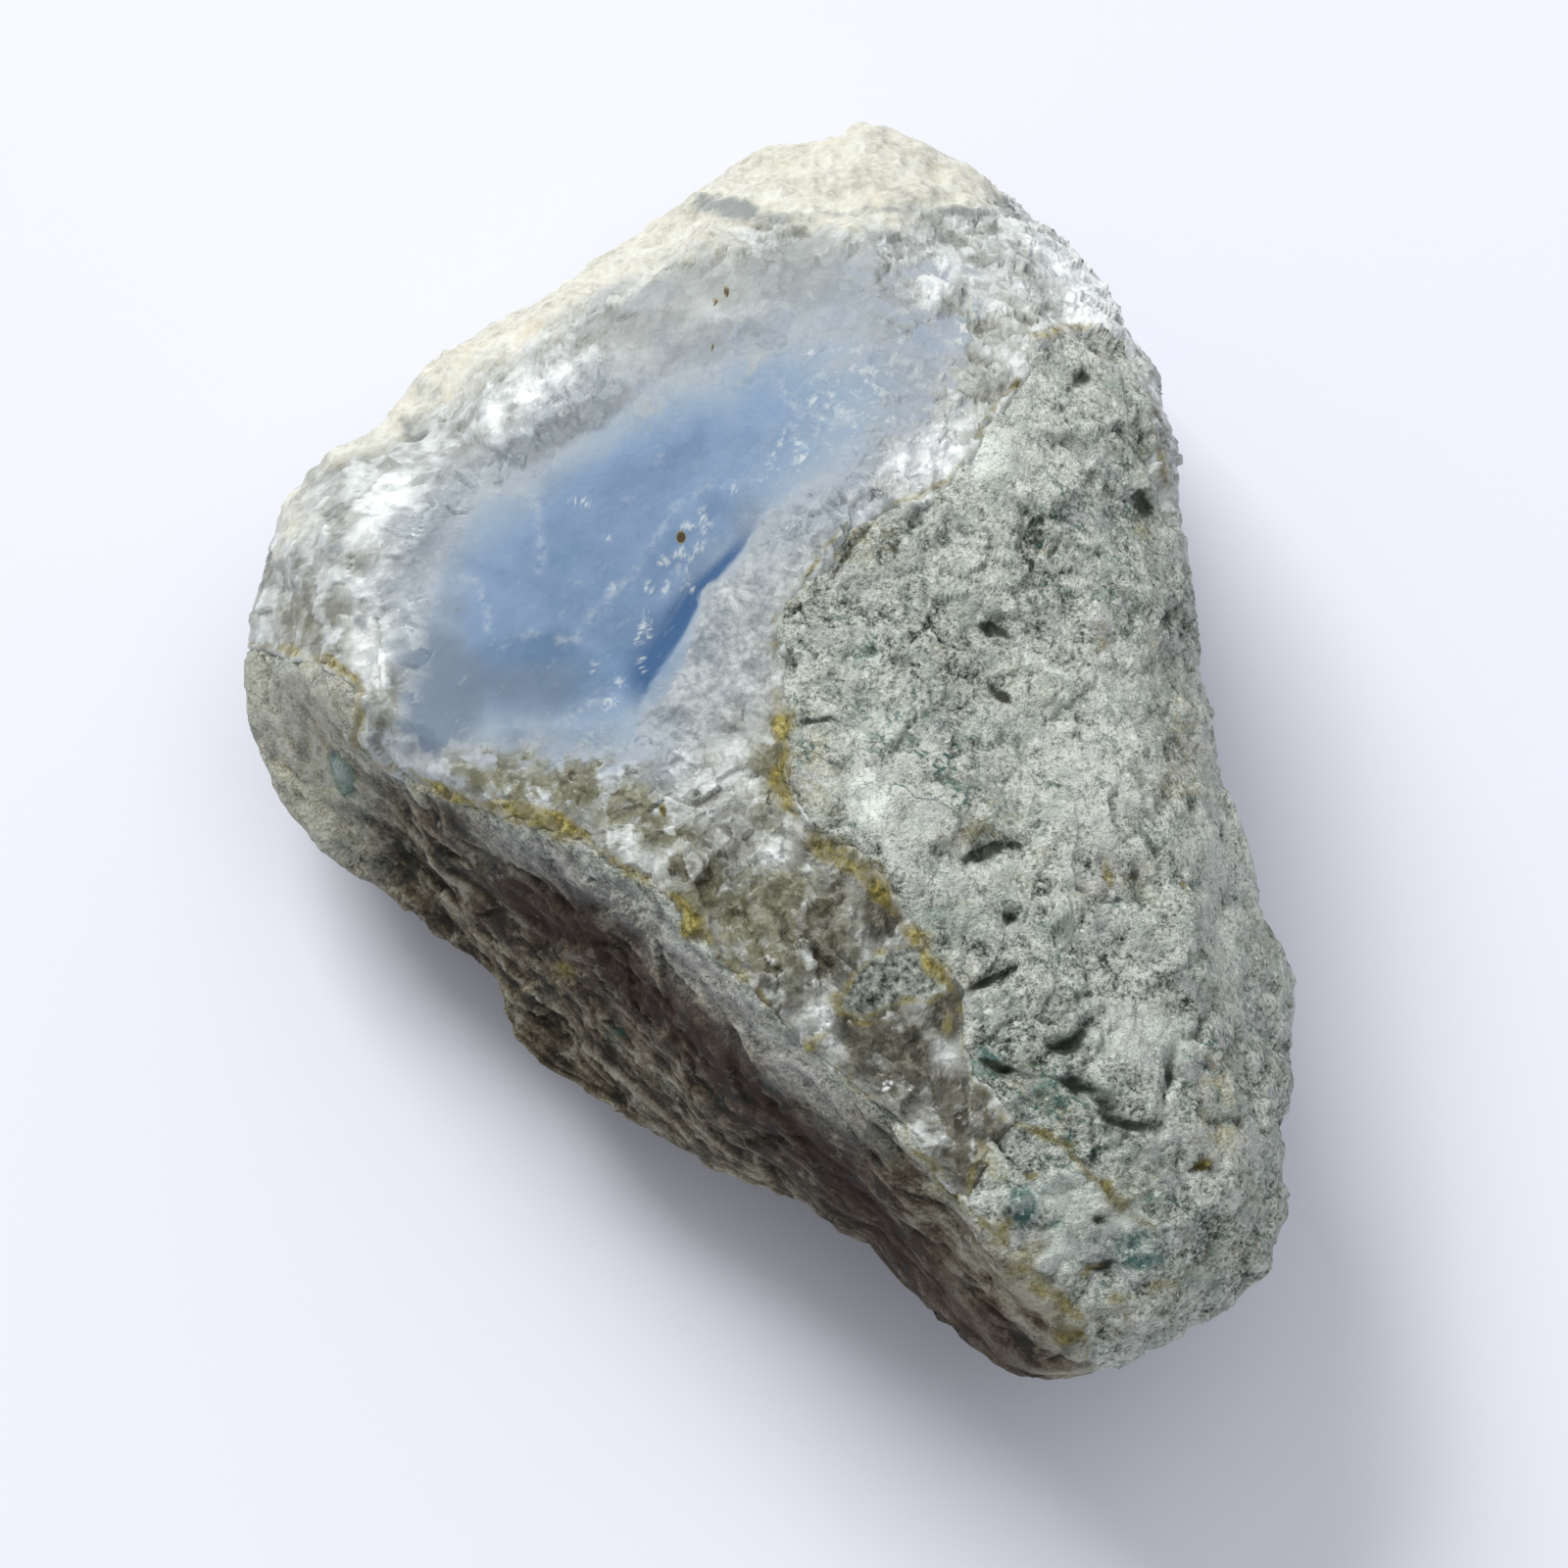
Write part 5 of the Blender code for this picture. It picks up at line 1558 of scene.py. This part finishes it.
def clay_over(recipe, colour, crumbs):
    """Rusty clay over a colour, broken up along its edges, with brighter and browner crumbs."""
    strength = recipe.weighed(ochre=1.0, clay=2.2)
    clay = recipe.ramp(
        recipe.plus(crumbs, recipe.rise("ochre", 1.1, 1.5, 0.14)),
        ochre_brown=0.45, ochre=0.54, ochre_bright=0.68,
    )
    stain = recipe.rise(strength, 1.40, 1.95, 0.5)
    return recipe.coated(colour, ("ochre", stain), (clay, recipe.rise(strength, 1.80, 2.36, 0.88)))


def quartz_colour(seam):
    """Frosted quartz: blocks and chips of white, grey and olive, bluish by the opal, smoky in the tail, with
    painted shade in its hollows, painted light where it stands out, and painted glints.
    """
    frost = seam.weighed(
        cloudy=0.32, fine=seam.blend(0.16, 0.10, "soft"), facet=0.13, crystal=seam.blend(0.15, 0.08, "soft"),
        fleck=0.14, white=0.22, over=0.12, low=-0.06, soft=0.035,
    )
    quartz = seam.ramp(frost, quartz_shade=0.28, quartz_grey=0.40, quartz_white=0.52, quartz_bright=0.72)
    patchy = seam.weighed(cloudy=0.8, facet=0.2, fleck=0.1)
    grains = seam.weighed(fine=0.4, fleck=0.35, crystal=0.25)
    olive = seam.ramp(grains, olive_shade=0.30, quartz_olive=0.55, quartz_grey=0.78)
    smoke = seam.ramp(grains, smoke_shade=0.34, quartz_smoke=0.56, quartz_shade=0.76)
    # Painted glints on single crystals, and white bursts that are partly white crystals and partly painted
    # glints
    glints = seam.times(
        seam.rise("dots", 0.58, 0.68),
        seam.rise("crystal", 0.55, 0.90),
        seam.rise("cloudy", 0.42, 0.58, 0.75),
    )
    white_and_glint_bursts = seam.times(seam.rise("white", 0.9, 1.5), seam.rise("fine", 0.42, 0.56, 0.8))
    return seam.coated(
        quartz,
        ("quartz_blue", seam.times("halo", seam.rise(frost, 0.70, 0.45, 0.8))),
        (olive, seam.maths("MINIMUM", seam.times("olive", seam.rise(patchy, 0.80, 0.50)), 0.95)),
        (smoke, seam.maths("MINIMUM", seam.times("brown", seam.rise(patchy, 0.84, 0.58)), 0.95)),
        ("quartz_bright", seam.maths("MAXIMUM", glints, white_and_glint_bursts)),
    )


def opal_colour(seam):
    """The blue opal: deep in its hollow, with a darker band below the crest and faint wisps."""
    veil = seam.weighed(-0.45, deep=1.0, opal_swell=0.4, opal_drift=0.5)
    return seam.coated(
        seam.ramp(veil, opal_pale=0.0, opal_light=0.30, opal_blue=0.65, opal_deep=1.0),
        ("opal_band", "band"),
        ("opal_dusk", seam.rise(seam.weighed(-0.4, dusk=1.0, wide=0.8), 0.0, 1.0, 0.9)),
        ("opal_pale", seam.rise("opal_wisps", 0.58, 0.72, 0.30)),
        ("quartz_white", seam.times(seam.rise("opal_flakes", 0.52, 0.66, 0.5), "flaky")),
        ("quartz_white", seam.times("ripple", seam.rise("pocks", 0.35, 0.65, 0.30))),
    )


def milky_colour(seam):
    """The smooth grey part of the seam, and the frosted slope with its pale streaks."""
    milk = seam.weighed(milk=0.65, cloudy=0.35)
    frost = seam.weighed(-0.025, slope_streaks=0.55, fine=0.50)
    return seam.coated(
        seam.ramp(milk, milky_blue=0.38, milky_grey=0.50, milky_white=0.66),
        ("quartz_blue", seam.times("halo", 0.55)),
        (seam.ramp(frost, slope_dark=0.40, milky_slope=0.50, slope_white=0.60), seam.times("frosted", 0.9)),
    )


def chalk_colour(seam):
    """The chalky cream rind."""
    mottle = seam.weighed(chalk=0.6, fine=0.4)
    chalk = seam.ramp(mottle, rind_grey=0.38, rind_cream=0.49, rind_white=0.62)
    return seam.coated(chalk, ("rind_rust", seam.rise("wide", 0.54, 0.70, 0.3)))


def seam_material(colours):
    """The seam: blue opal, frosted and smoky quartz, the chalky rind and the clay along its edges."""
    seam = Recipe("opal_and_quartz", colours)
    seam.named["crystal"], lean = seam.crystals(CRYSTAL_SIZE)
    heart = seam.rise(seam.weighed(opal=1.0, cloudy=0.3), 0.35, 0.95)
    grit = seam.ramp("gritty", rock_dark=0.38, rock_shade=0.52, rock_middle=0.68)
    # Painted shade in the seam's small hollows and gaps, which also holds a few dark spots of their own
    seam_hollow_shade = seam.rise(seam.weighed(shade=1.0, pocks=0.6), 0.45, 1.15, 0.75)
    rusty = seam.weighed(-0.3, rust=1.0, fine=0.9)
    colour = seam.coated(
        quartz_colour(seam),
        (milky_colour(seam), "smooth"),
        (opal_colour(seam), heart),
        ("quartz_white", seam.times("chip", seam.rise("fine", 0.34, 0.56, 0.7))),
        (chalk_colour(seam), "rind"),
        (grit, "island"),
        ("cavity", seam_hollow_shade),
        ("ochre", seam.rise(rusty, 0.35, 0.6, 0.7)),
        ("rust", seam.rise(rusty, 0.6, 0.9)),
    )
    dull = seam.maths("MAXIMUM", "rind", "island")
    dull = seam.maths("MAXIMUM", dull, seam.rise("ochre", 0.5, 0.9))
    bare = seam.maths("SUBTRACT", 1.0, dull)
    gloss = seam.blend(seam.blend(0.60, 0.20, seam.rise("crystal", 0.40, 0.90)), 0.62, "smooth")
    rough = seam.times(seam.blend(1.0, 0.15, "smooth"), seam.blend(1.0, 0.5, "soft"))
    relief = seam.plus(seam.times(lean, rough, bare, 0.9), seam.times("fine", rough, 0.14))
    seam.finish({
        "Base Color": clay_over(seam, colour, "gritty"),
        "Roughness": seam.blend(gloss, 0.88, dull),
        "Coat Weight": seam.times(seam.blend(0.14, 0.03, "smooth"), bare),
        "Coat Roughness": 0.12,
        "Specular IOR Level": 0.32,
        "Subsurface Weight": 0.35,
        "Subsurface Radius": (0.5, 0.55, 0.65),
        "Subsurface Scale": MM,
        "Normal": seam.bump(relief, 1.0),
    })
    return seam.material


def table_material(colours):
    """A plain pale table top."""
    table = Recipe("pale_table", colours)
    table.finish({"Base Color": colours.table, "Roughness": 0.8, "Specular IOR Level": 0.2})
    return table.material


def colour_of(name, description, *colour):
    """A colour that a user may change."""
    return FloatVectorProperty(
        name=name.replace("_", " ").capitalize(), description=description, subtype="COLOR", size=4,
        min=0.0, max=1.0, default=(*colour, 1.0),
    )


class StoneColours(bpy.types.PropertyGroup):
    """The colours of the stone and its table."""

    __annotations__ = {name: colour_of(name, *said) for name, said in COLOURS.items()}


class StoneSizes(bpy.types.PropertyGroup):
    """The sizes of the stone's relief and of its table."""

    rock_relief: FloatProperty(
        name="Rock relief", description="How high the rock's broken grain stands, against the real stone's",
        default=1.0, min=0.0, max=2.0, subtype="FACTOR",
    )
    seam_relief: FloatProperty(
        name="Seam relief", description="How high the seam's crystals stand, against the real stone's",
        default=1.0, min=0.0, max=2.0, subtype="FACTOR",
    )
    table_side: FloatProperty(
        name="Table side", description="The side of the table top", default=6.0, min=0.3, unit="LENGTH"
    )


class STONE_OT_host_rock(bpy.types.Operator):
    """Build the grey-green rock that carries the seam"""

    bl_idname = "stone.host_rock"
    bl_label = "Host Rock"

    def execute(self, context):
        shape = shape_rock(context.scene.stone_sizes.rock_relief)
        finished(*shape, rock_material(context.scene.stone_colours), "rock")
        return {"FINISHED"}


class STONE_OT_opal_seam(bpy.types.Operator):
    """Build the seam of blue opal with its quartz and its rind"""

    bl_idname = "stone.opal_seam"
    bl_label = "Opal Seam"

    def execute(self, context):
        shape = shape_seam(context.scene.stone_sizes.seam_relief)
        finished(*shape, seam_material(context.scene.stone_colours), "opal_seam")
        return {"FINISHED"}


def sight_turn():
    """The turn of a camera that looks along the sight lines."""
    return Matrix((SIGHT_RIGHT, SIGHT_UP, SIGHT_BACK)).transposed().to_4x4()


def make_camera(scene):
    """The camera at the eye's place, framed as the picture is."""
    data = bpy.data.cameras.new("eye")
    data.sensor_width = SENSOR_WIDTH
    data.lens = SENSOR_WIDTH * SIGHT_DISTANCE * PIXELS_PER_MM / PICTURE_SIDE
    data.clip_start = 0.01
    camera = bpy.data.objects.new("eye", data)
    aside = PICTURE_CENTRE[0] * SIGHT_RIGHT + PICTURE_CENTRE[1] * SIGHT_UP
    stand = (EYE + aside - np.array((*STONE_MIDDLE, 0.0))) * MM
    camera.matrix_world = Matrix.Translation(Vector(stand)) @ sight_turn()
    scene.collection.objects.link(camera)
    scene.camera = camera


def make_lamp(scene, name, place_at, side, power, colour):
    """A square soft light that shines on the stone."""
    data = bpy.data.lights.new(name, "AREA")
    data.size = side
    data.energy = power
    data.color = colour
    lamp = bpy.data.objects.new(name, data)
    lamp.location = place_at
    lamp.rotation_euler = (-Vector(place_at)).to_track_quat("-Z", "Y").to_euler()
    scene.collection.objects.link(lamp)


def make_sky(scene):
    """Even, pale light from all round."""
    sky = bpy.data.worlds.new("pale_room")
    sky.use_nodes = True
    light = sky.node_tree.nodes["Background"]
    light.inputs["Color"].default_value = SKY_COLOUR
    light.inputs["Strength"].default_value = SKY_STRENGTH
    scene.world = sky


class STONE_OT_stage(bpy.types.Operator):
    """Build the pale table, the soft lights and the camera"""

    bl_idname = "stone.stage"
    bl_label = "Table and Lights"

    def execute(self, context):
        scene = context.scene
        top = bmesh.new()
        bmesh.ops.create_grid(top, x_segments=1, y_segments=1, size=scene.stone_sizes.table_side / 2)
        mesh = bpy.data.meshes.new("table_top")
        top.to_mesh(mesh)
        top.free()
        mesh.materials.append(table_material(scene.stone_colours))
        table = bpy.data.objects.new("table_top", mesh)
        scene.collection.objects.link(table)
        for lamp in LAMPS:
            make_lamp(scene, *lamp)
        make_sky(scene)
        make_camera(scene)
        scene.view_settings.view_transform = "Standard"
        return {"FINISHED"}


class STONE_PT_panel(bpy.types.Panel):
    """The pieces of the stone, and what a user may change"""

    bl_label = "Rough Blue Opal"
    bl_space_type = "VIEW_3D"
    bl_region_type = "UI"
    bl_category = "Rough Opal"

    def draw(self, context):
        column = self.layout.column()
        for operator in OPERATORS:
            column.operator(operator.bl_idname)
        for group in (context.scene.stone_sizes, context.scene.stone_colours):
            for name in group.bl_rna.properties.keys():
                if name not in ("rna_type", "name"):
                    column.prop(group, name)


OPERATORS = (STONE_OT_host_rock, STONE_OT_opal_seam, STONE_OT_stage)
CLASSES = (StoneColours, StoneSizes, *OPERATORS, STONE_PT_panel)


def register():
    for item in CLASSES:
        bpy.utils.register_class(item)
    bpy.types.Scene.stone_colours = PointerProperty(type=StoneColours)
    bpy.types.Scene.stone_sizes = PointerProperty(type=StoneSizes)


def unregister():
    del bpy.types.Scene.stone_sizes
    del bpy.types.Scene.stone_colours
    for item in reversed(CLASSES):
        bpy.utils.unregister_class(item)


def main():
    register()
    bpy.ops.stone.host_rock()
    bpy.ops.stone.opal_seam()
    bpy.ops.stone.stage()


if __name__ == "__main__":
    main()
